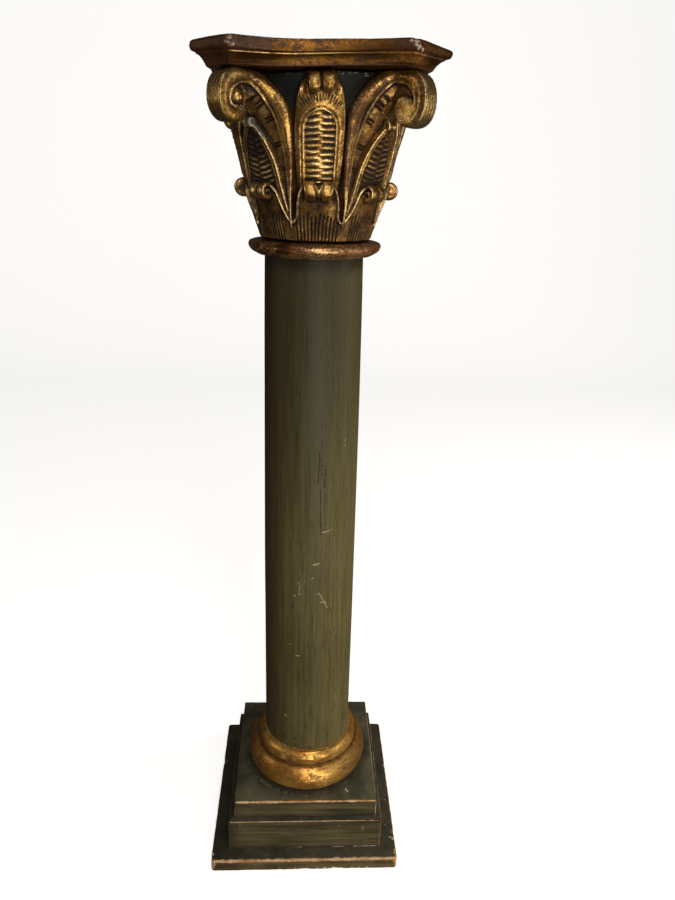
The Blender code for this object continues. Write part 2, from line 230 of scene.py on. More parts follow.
def smooth_curve(rows, soft=3.0):
    """Table of (x, y...) rows -> function of x, corners rounded over `soft`."""
    rows = np.array(rows, float)
    x = np.arange(rows[0, 0] - 4 * soft, rows[-1, 0] + 4 * soft, 0.25)
    cols = []
    for j in range(1, rows.shape[1]):
        y = np.interp(x, rows[:, 0], rows[:, j])
        # carry the end slopes on, so that smoothing keeps them
        s0 = (rows[1, j] - rows[0, j]) / (rows[1, 0] - rows[0, 0])
        s1 = (rows[-1, j] - rows[-2, j]) / (rows[-1, 0] - rows[-2, 0])
        y = np.where(x < rows[0, 0], rows[0, j] + s0 * (x - rows[0, 0]), y)
        y = np.where(x > rows[-1, 0], rows[-1, j] + s1 * (x - rows[-1, 0]), y)
        n = max(1, int(soft / 0.25))
        k = np.hanning(2 * n + 3)[1:-1]
        y = np.convolve(np.pad(y, n, mode="edge"), k / k.sum(), mode="valid")
        cols.append(y)
    if len(cols) == 1:
        return lambda q: np.interp(q, x, cols[0])
    return lambda q: [np.interp(q, x, c) for c in cols]

def through(points, n):
    """Catmull-Rom curve through the points, n samples evenly along it."""
    p = np.array(points, float)
    p = np.vstack([2 * p[0] - p[1], p, 2 * p[-1] - p[-2]])
    out = []
    for i in range(1, len(p) - 2):
        t = np.linspace(0, 1, 24, endpoint=False)[:, None]
        a, b, c, d = p[i - 1], p[i], p[i + 1], p[i + 2]
        out.append(0.5 * (2 * b + (c - a) * t + (2 * a - 5 * b + 4 * c - d) * t ** 2 + (3 * b - a - 3 * c + d) * t ** 3))
    out = np.vstack(out + [p[-2:-1]])
    length = np.concatenate([[0], np.cumsum(np.linalg.norm(np.diff(out[:, :3], axis=0), axis=1))])
    at = np.linspace(0, length[-1], n)
    return np.stack([np.interp(at, length, out[:, j]) for j in range(out.shape[1])], 1)

def outline(x, y, poly):
    """Signed distance to a closed outline, negative inside. Its corners may be arrays."""
    best = None
    inside = None
    n = len(poly)
    for i in range(n):
        ax, ay = poly[i]
        bx, by = poly[(i + 1) % n]
        ex, ey = bx - ax, by - ay
        t = np.clip(((x - ax) * ex + (y - ay) * ey) / (ex * ex + ey * ey + 1e-9), 0, 1)
        d = (x - ax - ex * t) ** 2 + (y - ay - ey * t) ** 2
        cross = (ay > y) != (by > y)
        xi = ax + (y - ay) * ex / np.where(np.abs(ey) < 1e-9, 1e-9, ey)
        hit = cross & (x < xi)
        best = d if best is None else np.minimum(best, d)
        inside = hit if inside is None else inside ^ hit
    return np.where(inside, -1.0, 1.0) * np.sqrt(best)

class Sheet:
    """A function of two lengths, kept as a table and read by straight lines."""
    def __init__(self, fn, x0, x1, y0, y1, step=0.5):
        self.x0, self.y0, self.s = x0, y0, step
        self.nx, self.ny = int((x1 - x0) / step) + 2, int((y1 - y0) / step) + 2
        gx = x0 + step * np.arange(self.nx)[:, None] + np.zeros((1, self.ny))
        gy = y0 + step * np.arange(self.ny)[None, :] + np.zeros((self.nx, 1))
        self.t = fn(gx, gy).astype(np.float32)
    def __call__(self, x, y):
        fx = np.clip((x - self.x0) / self.s, 0, self.nx - 1.001)
        fy = np.clip((y - self.y0) / self.s, 0, self.ny - 1.001)
        i, j = fx.astype(int), fy.astype(int)
        a, b = fx - i, fy - j
        t = self.t
        return (t[i, j] * (1 - a) * (1 - b) + t[i + 1, j] * a * (1 - b)
                + t[i, j + 1] * (1 - a) * b + t[i + 1, j + 1] * a * b)

# ------------------------------------------------------------ sizes
Z0, Z1 = 947.5, 1125.9
bell_r = smooth_curve([(947.5, 66.0), (966, 70.5), (990, 74.5), (1030, 80.5), (1075, 87.0), (1112, 96.5), (1126, 98.5)], 6)
low_r = smooth_curve([(947.5, 70.8), (957, 73.8), (967.2, 77.4), (975, 80.0), (982, 82.8), (988, 85.3), (994, 87.7), (1000, 89.6), (1008, 91.3), (1016, 92.0)], 4)
face_r = smooth_curve([(945, 62.0), (985, 78.5), (1000, 84.5), (1012, 88.8), (1020, 93.0), (1047, 99.0), (1070, 105.6), (1088, 110.0), (1100, 111.8), (1108, 111.0), (1116, 107.5), (1126, 102.0)], 5)
mid_r = smooth_curve([(947, 64.0), (960, 71.0), (972, 75.6), (984, 81.2), (995, 85.8), (1004, 89.0), (1012, 91.8), (1023.5, 94.9), (1041, 99.9), (1057, 105.6), (1067, 109.6), (1080, 114.5)], 5)

low_face = through([(36, 935), (36, 958), (31.5, 966.5), (27.0, 971), (25.0, 977), (25.0, 986), (24.3, 994), (22.8, 1001), (20.5, 1007), (17, 1011.5), (11, 1014.5), (0, 1015.5)], 60)
low_face = np.vstack([low_face, [(-60, 1015.5), (-60, 880), (36, 880)]])
low_corner = through([(36, 935), (36, 958), (32.5, 965.5), (28.0, 972.5), (24.6, 981.7), (22.3, 993), (20.3, 1001.5), (16.5, 1006.5), (12, 1010), (7, 1012), (0, 1012.5)], 60)
low_corner = np.vstack([low_corner, [(-60, 1012.5), (-60, 880), (36, 880)]])
face_leaf = through([(20.0, 990), (22.3, 1005), (24.2, 1017), (26.2, 1035), (27.3, 1055), (27.8, 1070), (27.3, 1086), (25.4, 1100), (21.6, 1111), (17.5, 1119), (14.0, 1125), (12, 1132)], 60)
face_leaf = np.vstack([face_leaf, [(12, 1200), (-60, 1200), (-60, 880), (20, 880)]])
mid_leaf = through([(27.5, 940), (28.0, 979), (27.6, 1004), (26.6, 1023.5), (23.6, 1041), (17.8, 1057), (11.3, 1067), (6.5, 1073), (4.0, 1077)], 60)
mid_leaf = np.vstack([mid_leaf, [(0, 1077.8), (-60, 1077.8), (-60, 880), (27.5, 880)]])

low_face_d = Sheet(lambda x, y: outline(x, y, low_face), 0, 50, 940, 1030)
low_corner_d = Sheet(lambda x, y: outline(x, y, low_corner), 0, 50, 940, 1030)
face_d = Sheet(lambda x, y: outline(x, y, face_leaf), 0, 60, 985, 1130)
mid_d = Sheet(lambda x, y: outline(x, y, mid_leaf), 0, 60, 940, 1100)

def panel(s, z):
    """Signed distance to the arched panel of a face leaf."""
    straight = s - (19.1 + (z - 1016.8) * 1.4 / 43.0)
    arch = np.hypot(s, z - 1069.0) - 20.6
    return np.where(z < 1069.0, straight, arch)

# body of the leaf that carries the scroll: plan outline by height
body_rows = smooth_curve([
    # z, outer edge u h, floor beside the band u h, mid floor u h, diagonal u
    (950, 58.0, 24.0, 60.0, 23.0, 64.5, 12, 67.0),
    (962, 64.5, 26.5, 66.5, 25.0, 71.5, 13, 73.0),
    (972, 68.5, 28.5, 70.8, 26.6, 76.0, 14, 77.4),
    (995, 74.0, 33.0, 76.6, 29.3, 82.0, 15, 83.5),
    (1020, 78.0, 37.5, 81.2, 31.3, 87.0, 16, 89.0),
    (1048, 83.5, 42.5, 86.6, 31.8, 92.5, 17, 95.0),
    (1063, 86.0, 43.0, 91.0, 29.8, 97.0, 16, 99.5),
    (1079, 87.0, 41.5, 96.0, 25.8, 102.5, 14.5, 107.0),
    (1091, 87.5, 38.0, 102.0, 21.0, 109.5, 12, 114.5),
    (1098, 90.0, 35.0, 107.0, 17.5, 115.5, 10.2, 121.0),
    (1104, 93.0, 31.5, 112.0, 14.6, 121.0, 8.6, 127.0),
    (1112, 97.0, 26.0, 120.0, 10.5, 127.0, 7.4, 134.0),
    (1119, 103.0, 19.0, 122.0, 9.5, 130.0, 7.0, 138.0),
    (1126, 109.0, 13.0, 124.0, 8.5, 132.0, 6.5, 140.0)], 5)

def body(u, h, z):
    ou, oh, fu, fh, mu, mh, du = body_rows(z)
    zero = ou * 0.0
    poly = [(zero + 50, zero - 6), (zero + 50, oh * 0.8), (ou - 8, oh - 0.5), (ou, oh), (fu, fh), (mu, mh), (du, zero), (du, zero - 6)]
    return outline(u, h, poly)

# band along the side of that leaf: outer and inner edge (u, h, z)
band_rows = through([
    (72.3, 30.6, 962.0, 72.8, 29.6, 962.0),
    (74.0, 32.0, 975.0, 75.4, 30.2, 975.0),
    (76.7, 34.4, 992.0, 79.0, 31.2, 992.0),
    (81.0, 39.0, 1018.0, 84.2, 32.6, 1018.0),
    (87.0, 44.5, 1046.0, 89.6, 33.4, 1045.0),
    (91.0, 46.2, 1071.0, 96.0, 31.6, 1066.0),
    (92.8, 42.5, 1089.0, 100.6, 26.4, 1083.0),
    (97.0, 35.4, 1104.0, 107.2, 21.2, 1094.5),
    (102.5, 28.4, 1113.5, 113.0, 17.4, 1102.5),
    (110.5, 20.5, 1121.5, 119.8, 14.0, 1108.8),
    (122.0, 14.4, 1126.6, 127.5, 12.2, 1113.4),
    (137.5, 12.0, 1126.8, 137.0, 11.8, 1113.6),
], 150)

def band_frames():
    eo, ei = band_rows[:, :3], band_rows[:, 3:]
    c = (eo + ei) / 2
    length = np.concatenate([[0], np.cumsum(np.linalg.norm(np.diff(c, axis=0), axis=1))])
    at = np.linspace(0, length[-1], len(c))
    eo = np.stack([np.interp(at, length, eo[:, j]) for j in range(3)], 1)
    ei = np.stack([np.interp(at, length, ei[:, j]) for j in range(3)], 1)
    c = (eo + ei) / 2
    t = np.gradient(c, axis=0)
    t /= np.linalg.norm(t, axis=1)[:, None]
    a = ei - eo
    a -= (a * t).sum(1)[:, None] * t
    w = np.linalg.norm(a, axis=1) / 2
    a /= 2 * w[:, None]
    n = np.cross(t, a)
    n *= np.sign((n * np.array([1.0, 0.6, 0.0])).sum(1))[:, None]
    return c, t, a, n, w

BC, BT, BA, BN, BW = band_frames()

def band(u, h, z):
    """Distance to the band and, for relief, (along, across) of the nearest place."""
    p = np.stack([u.ravel(), h.ravel(), z.ravel()], 1)
    best = np.full(len(p), 1e9)
    arg = np.zeros(len(p), int)
    for i in range(len(BC)):
        d = ((p - BC[i]) ** 2).sum(1)
        m = d < best
        best[m] = d[m]
        arg[m] = i
    q = p - BC[arg]
    along = (q * BT[arg]).sum(1)
    # move to the exact place between samples
    ds = np.linalg.norm(BC[1] - BC[0])
    pos = np.clip(arg + along / ds, 0, len(BC) - 1.001)
    i = pos.astype(int)
    f = (pos - i)[:, None]
    c = BC[i] * (1 - f) + BC[i + 1] * f
    a = BA[i] * (1 - f) + BA[i + 1] * f
    n = BN[i] * (1 - f) + BN[i + 1] * f
    w = (BW[i] * (1 - f[:, 0]) + BW[i + 1] * f[:, 0])
    q = p - c
    over = np.maximum(0, along - (len(BC) - 1.001 - arg) * ds) * 0
    aa, nn = (q * a).sum(1), (q * n).sum(1)
    # it sinks into the scroll at its upper end
    nn = nn + 3.2 * step(pos / len(BC), 0.84, 0.99)
    end = np.where(arg == 0, np.maximum(0, -along), 0) + np.where(arg == len(BC) - 1, np.maximum(0, along), 0)
    crown = 0.42 * w
    top = crown * (1 - np.minimum(np.abs(aa) / w, 1.3) ** 2)
    f0 = soft_max((nn - top) * 0.92, np.abs(aa) - w, 1.6)
    # thin raised line along the inner edge, with a groove beside it
    size = np.clip(w / 5.0, 0.35, 1.0)
    ga = w - 3.6 * size
    f0 = soft_max(f0, -(np.hypot(aa - ga, nn - crown * (1 - (ga / w) ** 2) - 0.35) - 1.05 * size), 0.5)
    ba = w - 1.35 * size
    f0 = soft_min(f0, np.hypot(aa - ba, nn - crown * (1 - (ba / w) ** 2) + 0.25) - 1.35 * size, 0.5)
    f0 = soft_max(f0, -nn - 8.0, 1.0)
    f0 = np.where(end > 0, np.maximum(f0, end), f0)
    return f0.reshape(u.shape), (pos.reshape(u.shape), (aa / w).reshape(u.shape))

# scroll at the corner, seen from its side: outward u, height z
scroll_outline = through([(104, 1127.5), (116, 1127.3), (126, 1127.2), (135, 1127.0), (142, 1126.4), (149, 1124.6), (155.3, 1120.6),
                          (160.0, 1114.8), (162.9, 1107.8), (164.2, 1100), (163.9, 1092), (161.6, 1084.4), (157.0, 1077.6),
                          (150.0, 1073.2), (141.5, 1071.9), (133.6, 1073.8), (127.4, 1078.8), (124.2, 1086.0), (123.2, 1093.0),
                          (119, 1096.0), (111, 1098.0), (104, 1104)], 120)
rim_a = through([(104, 1104), (110, 1108.2), (117.5, 1111.2), (127.0, 1112.4), (135.0, 1111.6), (141.2, 1108.4), (146.2, 1103.2), (149.6, 1096.8), (150.8, 1089.5)], 70)
rim_b = through([(96, 1092), (104, 1099.5), (111, 1105.2), (118, 1109.2), (125.5, 1112.0), (133, 1112.0), (140.0, 1109.4), (145.8, 1104.8), (149.0, 1099.2), (149.6, 1093.8), (147.2, 1089.4), (142.6, 1087.2)], 90)

def near_line(x, y, line):
    """Distance to an open line, and the side of it (+ on its left)."""
    best = np.full(x.shape, 1e9)
    side = np.zeros(x.shape)
    for (ax, ay), (bx, by) in zip(line[:-1], line[1:]):
        ex, ey = bx - ax, by - ay
        t = np.clip(((x - ax) * ex + (y - ay) * ey) / (ex * ex + ey * ey), 0, 1)
        dx, dy = x - ax - ex * t, y - ay - ey * t
        d = dx * dx + dy * dy
        m = d < best
        best = np.where(m, d, best)
        side = np.where(m, np.sign(ex * dy - ey * dx), side)
    return np.sqrt(best), side

def scroll_face_a(u, z):
    """Half thickness of the scroll that ends in a broad flat disc."""
    d, side = near_line(u, z, rim_a)
    signed = np.where(side > 0, -d, d)              # + inside the curl, towards the eye
    disc = np.hypot(u - 136.4, z - 1087.2) - 13.2
    out = scroll_d(u, z)
    high = 12.0 - 1.6 * step(-out, 9.0, 0.0) * 0.6
    high = high + 0.9 * bump(out + 7.5, 6.0)
    low = 7.4 - 1.8 * bump(np.hypot(u - 146.0, z - 1100.0), 8.0)
    in_recess = step(signed, -0.6, 1.6) * (1 - step(-disc, -1.4, 0.4))
    in_recess *= 1 - step(-(np.hypot(u - 137.0, z - 1098) - 26) , 40, 41)
    # nothing is sunk below and outside the disc
    below = step(z, 1086, 1093) 
    outer = step(u - 148.6, -2.5, 0.5) * step(1100 - z, 0, 4)
    in_recess *= below * (1 - outer)
    face = high + (low - high) * in_recess
    dome = 12.6 - 0.0045 * np.maximum(0, np.hypot(u - 136.4, z - 1087.2)) ** 2
    face = np.where(disc < 0, np.maximum(face * (1 - step(-disc, 0.2, 1.4)) + dome * step(-disc, 0.2, 1.4), 0), face)
    # thin line round the rim, only just raised
    face = face + 0.7 * bump(d, 1.5) * step(1110 - z, -8, 2) * (u < 150) * (1 - step(-disc, -1, 1))
    face = face - 0.8 * bump(d - 2.4, 1.3) * (side > 0) * 1.0
    return face

def scroll_face_b(u, z):
    """Half thickness of the scroll whose raised line runs round a small eye."""
    d, side = near_line(u, z, rim_b)
    signed = np.where(side > 0, -d, d)
    out = scroll_d(u, z)
    high = 12.0 - 1.0 * step(-out, 9.0, 0.0)
    high = high + 0.9 * bump(out + 6.5, 6.0)
    eye = np.hypot(u - 134.8, z - 1097.6)
    ring = np.hypot(u - 137.2, z - 1099.0)
    low = 8.2 - 1.6 * bump(ring - 9.6, 3.4)
    in_recess = step(signed, 0.2, 1.8)
    in_recess *= step(z, 1085, 1089) * (1 - step(u, 150, 153) * step(1104 - z, 0, 6))
    in_recess *= 1 - step(12.5 - np.hypot(u - 141.0, z - 1079.0), 0, 2)
    face = high + (low - high) * in_recess
    dome = 12.6 - 0.090 * eye ** 2
    face = np.where(eye < 7.4, np.maximum(face, dome), face)
    face = face + 1.3 * bump(d, 1.9)
    face = face - 0.9 * bump(d - 2.9, 1.4) * (side > 0)
    return face

scroll_d = Sheet(lambda x, y: outline(x, y, scroll_outline), 90, 172, 1064, 1132)
scroll_a = Sheet(scroll_face_a, 90, 172, 1064, 1132)
scroll_b = Sheet(scroll_face_b, 90, 172, 1064, 1132)

def scroll(u, h, z, face):
    d = scroll_d(u, z)
    # fine lines round the outer edge
    lines = 0.85 * (bump(h - 0.0, 1.5) + bump(h - 4.6, 1.4) + bump(h - 8.6, 1.3))
    d = d + lines * step(u, 132, 142)
    return soft_max(d, h - face(u, z), 2.6)

def roll(p, q, z, pc, zc, radius, half, lobes=0.14, hollow=2.2, spiral=True, turn=1.0):
    """Rolled tip: p outward, q sideways from its middle, axis sideways."""
    dp, dz = p - pc, z - zc
    rho = np.hypot(dp, dz)
    ang = np.arctan2(dz, dp)
    t = np.clip(q / half, 0, 1.3)
    swell = 1 - lobes * (2.0 * (t - 0.55)) ** 2 - 0.10 * np.exp(-(q / 1.6) ** 2)
    rr = radius * swell
    side = q - half
    if hollow:
        # spiral groove on the end
        wall = 2.7
        pitch = (radius - wall) * 0.5
        w = np.mod(ang / (2 * math.pi) + 0.08, 1.0)
        edge = radius * 0.93 - wall - pitch * w * 0.9
        inside = step(edge - rho, -0.5, 0.7) * step(rho - (edge - 3.0), -0.5, 0.9)
        side = side + hollow * inside
    return soft_max(rho - rr, side, 1.8)

def fields(o, s, z):
    """Distances of the parts, for s between 0 and o. o outward from the middle of a face, s sideways."""
    u, h = (o + s) / math.sqrt(2), (o - s) / math.sqrt(2)
    r = np.hypot(o, s)
    out = {}
    top = 1123.8 + 2.4 * step(88 - r, 0, 6)
    out["bell"] = soft_max(r - bell_r(z), z - top, 1.2)
    # lower leaves
    df, dc = low_face_d(s, z), low_corner_d(h, z)
    d = soft_min(df, dc, 4.5)
    rim = step(z, 961, 967)
    surf = low_r(z) + rim * (1.15 * bump(d + 1.5, 1.7) - 0.5 * bump(d + 3.9, 1.5)) - 0.9 * step(d, -14, -3) * (1 - step(d, -3.4, -2.0)) * rim
    surf = surf - 5.0 * bump((s - 18.4) / 4.6, 1.0) * bump((z - 999.5) / 13.0, 1.0)
    out["low"] = soft_max(r - surf, d, 1.3)
    # tall leaf on the face
    dl = face_d(s, z)
    p = panel(s, z)
    fr = face_r(z) - 0.0012 * s * s
    on = step(z, 1008, 1016)
    fr = fr - on * (1.0 * bump(p, 1.15)) + on * 0.45 * bump(p + 1.9, 1.5) - on * 1.1 * step(-p, 3.0, 4.2)
    fr = fr - 4.2 * bump((s - 18.6) / 5.4, 1.0) * bump((z - 1113.0) / 15.0, 1.0)
    out["face"] = soft_max(r - fr, dl, 2.6)
    # leaf on the corner
    dm = mid_d(h, z)
    mr = mid_r(z)
    mr = mr + 1.1 * bump(dm + 1.5, 1.7) - 0.8 * bump(dm + 3.7, 1.3) + 0.3 * bump(dm + 5.3, 1.3) - 1.1 * step(-dm, 6.0, 7.5)
    out["mid"] = soft_max(r - mr, dm, 1.2)
    out["body"] = body(u, h, z)
    return u, h, r, out

def lobes(q, z, zc, radius, half, gap, depth, ridge):
    """Radius of a rolled tip along its axis: two lobes and a sunk middle with a thin ridge."""
    t = np.clip(q / half, 0, 1.3)
    swell = radius * (1 - 0.13 * (2.0 * (t - 0.55)) ** 2)
    sunk = 1 - step(q, gap - 0.9, gap + 0.9)
    tongue = ridge * bump(q - np.clip((z - zc + 1.0) * 0.5, 0, 20), 1.6)
    return swell - (depth - tongue) * sunk


def rolls(o, s, u, h, z):
    out = {}
    # face leaf, lower tip: narrower downward, with a tongue between its lobes
    half = 16.4 + (z - 1004.3) * 0.20
    gap = 3.6 + np.clip(z - 1000.0, 0, 20) * 0.12
    rho = np.hypot(o - 90.3, z - 1004.4)
    out["face_curl"] = soft_max(rho - lobes(s, z, 1004.4, 11.2, half, gap, 2.3, 1.7), s - half, 2.4)
    rho = np.hypot(o - 106.6, z - 1112.0)
    half = 13.6 + (z - 1112) * 0.06
    out["top_curl"] = soft_max(rho - lobes(s, z, 1200.0, 11.2, half, 1.3, 1.9, 0.0), s - half, 1.8)
    out["corner_curl"] = roll(u, h, z, 92.4, 1002.6, 9.9, 12.6, lobes=0.12, hollow=2.4)
    out["tip_curl"] = roll(u, h, z, 111.2, 1074.6, 5.4, 6.6, lobes=0.10, hollow=1.2)
    return out

def solid(o, s, z, which):
    """Distance to the whole carving at points with 0 <= s <= o."""
    u, h, r, f = fields(o, s, z)
    c = rolls(o, s, u, h, z)
    b = np.full(o.shape, 30.0)
    near = (u > 60) & (h > 2) & (h < 58) & (r > 66)
    if near.any():
        b[near] = band(u[near], h[near], z[near] + 0 * u[near])[0]
    m = np.full(o.shape, 40.0)
    far = (u > 92) & (h < 24) & (z > 1066)
    far = far & np.ones(o.shape, bool)
    if far.any():
        zz = z + 0 * u
        m[far] = scroll(u[far], h[far], zz[far], scroll_a if which == "a" else scroll_b)
    g = soft_min(f["bell"], f["body"], 2.0)
    g = soft_min(g, b, 0.8)
    g = soft_min(g, m, 1.2)
    g = soft_min(g, f["mid"], 0.7)
    g = soft_min(g, c["tip_curl"], 1.2)
    g = soft_min(g, f["face"], 0.7)
    g = soft_min(g, c["top_curl"], 1.0)
    g = soft_min(g, f["low"], 0.7)
    g = soft_min(g, c["face_curl"], 1.0)
    g = soft_min(g, c["corner_curl"], 1.0)
    g = np.maximum(g, z - Z1)
    g = np.maximum(g, Z0 - z)
    return g

def corner_grid(cell, which):
    n = int(math.ceil(127.0 / cell)) + 2
    nz = int(math.ceil((Z1 + 2 * cell - (Z0 - 2 * cell)) / cell)) + 1
    ax = (np.arange(n) - 0.5) * cell
    az = Z0 - 1.5 * cell + np.arange(nz) * cell
    O, S = np.meshgrid(ax, ax, indexing="ij")
    keep = (S <= O + 1e-9) & (np.hypot(O, S) > 58) & ((O + S) / math.sqrt(2) < 168) & (np.hypot(O, S) < 168)
    keep[0, :] = False
    g = np.full((n, n, nz), 25.0, np.float32)
    g[np.hypot(O, S) <= 58 + 1e-9] = -12.0
    ii, jj = np.nonzero(keep & (S >= 0))
    o, s = ax[ii], ax[jj]
    for k in range(nz):
        v = solid(o, s, np.float64(az[k]) + 0 * o, which)
        g[ii, jj, k] = v
        g[jj, ii, k] = v
    inner = np.hypot(O, S) <= 58 + 1e-9
    cap = np.maximum(az - Z1, Z0 - az)
    g[inner] = np.maximum(-12.0, cap)[None, :].astype(np.float32)
    # first layer is the mirror of the second
    g[0, :, :] = g[1, :, :]
    g[:, 0, :] = g[:, 1, :]
    return g, ax, az

def surface_nets(g, ax, az):
    """Vertices and quads of the zero level."""
    neg = g < 0
    nx, ny, nz = g.shape
    c = neg[:-1, :-1, :-1].astype(np.int8)
    for dx in (0, 1):
        for dy in (0, 1):
            for dz in (0, 1):
                if dx or dy or dz:
                    c = c + neg[dx:nx - 1 + dx, dy:ny - 1 + dy, dz:nz - 1 + dz]
    live = (c > 0) & (c < 8)
    index = np.full(live.shape, -1, np.int64)
    ci, cj, ck = np.nonzero(live)
    index[ci, cj, ck] = np.arange(len(ci))
    total = np.zeros((len(ci), 3))
    count = np.zeros(len(ci))
    corners = [(0, 0, 0), (1, 0, 0), (0, 1, 0), (1, 1, 0), (0, 0, 1), (1, 0, 1), (0, 1, 1), (1, 1, 1)]
    for a in range(8):
        for axis in range(3):
            if corners[a][axis]:
                continue
            b = list(corners[a]); b[axis] = 1
            ga = g[ci + corners[a][0], cj + corners[a][1], ck + corners[a][2]].astype(float)
            gb = g[ci + b[0], cj + b[1], ck + b[2]].astype(float)
            m = (ga < 0) != (gb < 0)
            t = np.where(m, ga / np.where(m, ga - gb, 1), 0)
            p = np.array(corners[a], float)[None, :] + np.zeros((len(ci), 1))
            p[:, axis] += t
            total[m] += p[m]
            count[m] += 1
    v = total / count[:, None]
    v[:, 0] += ci; v[:, 1] += cj; v[:, 2] += ck
    cell = ax[1] - ax[0]
    v[:, 0] = ax[0] + v[:, 0] * cell
    v[:, 1] = ax[0] + v[:, 1] * cell
    v[:, 2] = az[0] + v[:, 2] * cell
    quads = []
    # an edge along each axis; quads only for edges off the mirrored first layer
    for axis in range(3):
        sl = [slice(1, n - 1) for n in g.shape]
        lo = [slice(1, n - 1) for n in g.shape]; hi = [slice(1, n - 1) for n in g.shape]
        lo[axis] = slice(0, g.shape[axis] - 1); hi[axis] = slice(1, g.shape[axis])
        a, b = neg[tuple(lo)], neg[tuple(hi)]
        change = a != b
        i, j, k = np.nonzero(change)
        off = [s.start for s in lo]
        i, j, k = i + off[0], j + off[1], k + off[2]
        flip = a[change]
        u1, u2 = [(1, 2), (2, 0), (0, 1)][axis]
        base = np.stack([i, j, k], 1)
        def cell_at(d1, d2):
            q = base.copy()
            q[:, u1] -= d1
            q[:, u2] -= d2
            return index[q[:, 0], q[:, 1], q[:, 2]]
        q = np.stack([cell_at(0, 0), cell_at(1, 0), cell_at(1, 1), cell_at(0, 1)], 1)
        q = np.where(flip[:, None], q, q[:, ::-1])
        quads.append(q)
    quads = np.vstack(quads)
    quads = quads[(quads >= 0).all(1)]
    return v, quads

def whole(cell, order=("a", "a", "a", "a")):
    """Four corners turned round the axis and welded. Corner i lies between faces i and i+1."""
    made = {}
    for which in sorted(set(order)):
        g, ax, az = corner_grid(cell, which)
        v, q = surface_nets(g, ax, az)
        made[which] = (v, q, g, ax, az)
    vs, qs, n = [], [], 0
    for i, which in enumerate(order):
        v, q = made[which][:2]
        a = math.radians(90.0 * i)
        # face i looks outward at azimuth 90 i: outward (sin a, -cos a), sideways (cos a, sin a)
        x = v[:, 0] * math.sin(a) + v[:, 1] * math.cos(a)
        y = -v[:, 0] * math.cos(a) + v[:, 1] * math.sin(a)
        vs.append(np.stack([x, y, v[:, 2]], 1))
        qs.append(q + n)
        n += len(v)
    v, q = np.vstack(vs), np.vstack(qs)
    # the corners meet in the planes through the middles of the faces
    seam = np.nonzero(np.minimum(np.abs(v[:, 0]), np.abs(v[:, 1])) < 1e-4)[0]
    key = np.round(v[seam] * 500.0).astype(np.int64)
    _, first, inverse = np.unique(key, axis=0, return_index=True, return_inverse=True)
    target = np.arange(len(v))
    target[seam] = seam[first[inverse.reshape(-1)]]
    used = np.unique(target)
    renumber = np.full(len(v), -1)
    renumber[used] = np.arange(len(used))
    return v[used], renumber[target[q]], made


# ------------------------------------------------------------ tools for dense meshes
def around(v, q):
    """Sum of the neighbours of each point, and how many there are."""
    n = len(v)
    total, count = np.zeros((n, 3)), np.zeros(n)
    for a, b in ((0, 1), (1, 2), (2, 3), (3, 0)):
        for i, j in ((q[:, a], q[:, b]), (q[:, b], q[:, a])):
            for c in range(3):
                total[:, c] += np.bincount(i, weights=v[j, c], minlength=n)
            count += np.bincount(i, minlength=n)
    return total, count


def relax(v, q, share, rounds=1):
    for _ in range(rounds):
        total, count = around(v, q)
        v = v + share * (total / np.maximum(count, 1)[:, None] - v)
    return v


def normals_of(v, q):
    n = np.cross(v[q[:, 2]] - v[q[:, 0]], v[q[:, 3]] - v[q[:, 1]])
    out = np.zeros_like(v)
    for c in range(4):
        for k in range(3):
            out[:, k] += np.bincount(q[:, c], weights=n[:, k], minlength=len(v))
    return out / np.maximum(np.linalg.norm(out, axis=1), 1e-12)[:, None]


def dent(v, n, centre, radius, depth, seed=0):
    """Knock a shallow hollow into the points within `radius` of the centre."""
    d = np.linalg.norm(v - np.asarray(centre), axis=1)
    near = d < radius
    if near.any():
        p = v[near]
        rough = 0.75 + 0.45 * noise3(p[:, 0], p[:, 1], p[:, 2], radius * 0.5, seed)
        v[near] -= n[near] * (depth * bump(d[near], radius) * rough)[:, None]
    return v


# ------------------------------------------------------------ hand relief of the carving
ORDER = ("a", "b", "a", "b")     # kind of scroll at each corner, from the front right one round
BELL, LOW, FACE, MID, BODY, BAND, SCROLL, FACE_CURL, TOP_CURL, CORNER_CURL, TIP_CURL = range(11)


def places(v):
    """Where each point lies: face and distances from its middle, corner and distances from its diagonal."""
    x, y, z = v[:, 0], v[:, 1], v[:, 2]
    az = np.degrees(np.arctan2(x, -y)) % 360.0
    face = np.round(az / 90.0).astype(int) % 4
    a = np.radians(90.0 * face)
    o, s = x * np.sin(a) - y * np.cos(a), x * np.cos(a) + y * np.sin(a)
    corner = np.floor(az / 90.0).astype(int) % 4
    c = np.radians(90.0 * corner + 45.0)
    u, h = x * np.sin(c) - y * np.cos(c), x * np.cos(c) + y * np.sin(c)
    return az, face, o, s, corner, u, h, z


def parts_at(v):
    """Which part of the carving each point belongs to, and the field values used again below."""
    az, face, o, s, corner, u, h, z = places(v)
    _, _, r, f = fields(o, np.abs(s), z)
    c = rolls(o, np.abs(s), u, np.abs(h), z)
    n = len(v)
    b, along, across = np.full(n, 30.0), np.zeros(n), np.zeros(n)
    near = (u > 60) & (np.abs(h) > 2) & (np.abs(h) < 58) & (r > 66)
    b[near], (along[near], across[near]) = band(u[near], np.abs(h)[near], z[near])
    m = np.full(n, 40.0)
    for which, table in (("a", scroll_a), ("b", scroll_b)):
        far = (u > 92) & (np.abs(h) < 24) & (z > 1066) & np.isin(corner, [i for i in range(4) if ORDER[i] == which])
        if far.any():
            m[far] = scroll(u[far], np.abs(h)[far], z[far], table)
    table = np.stack([f["bell"], f["low"], f["face"], f["mid"], f["body"], b, m,
                      c["face_curl"], c["top_curl"], c["corner_curl"], c["tip_curl"]])
    return np.argmin(table, 0), table, along, across


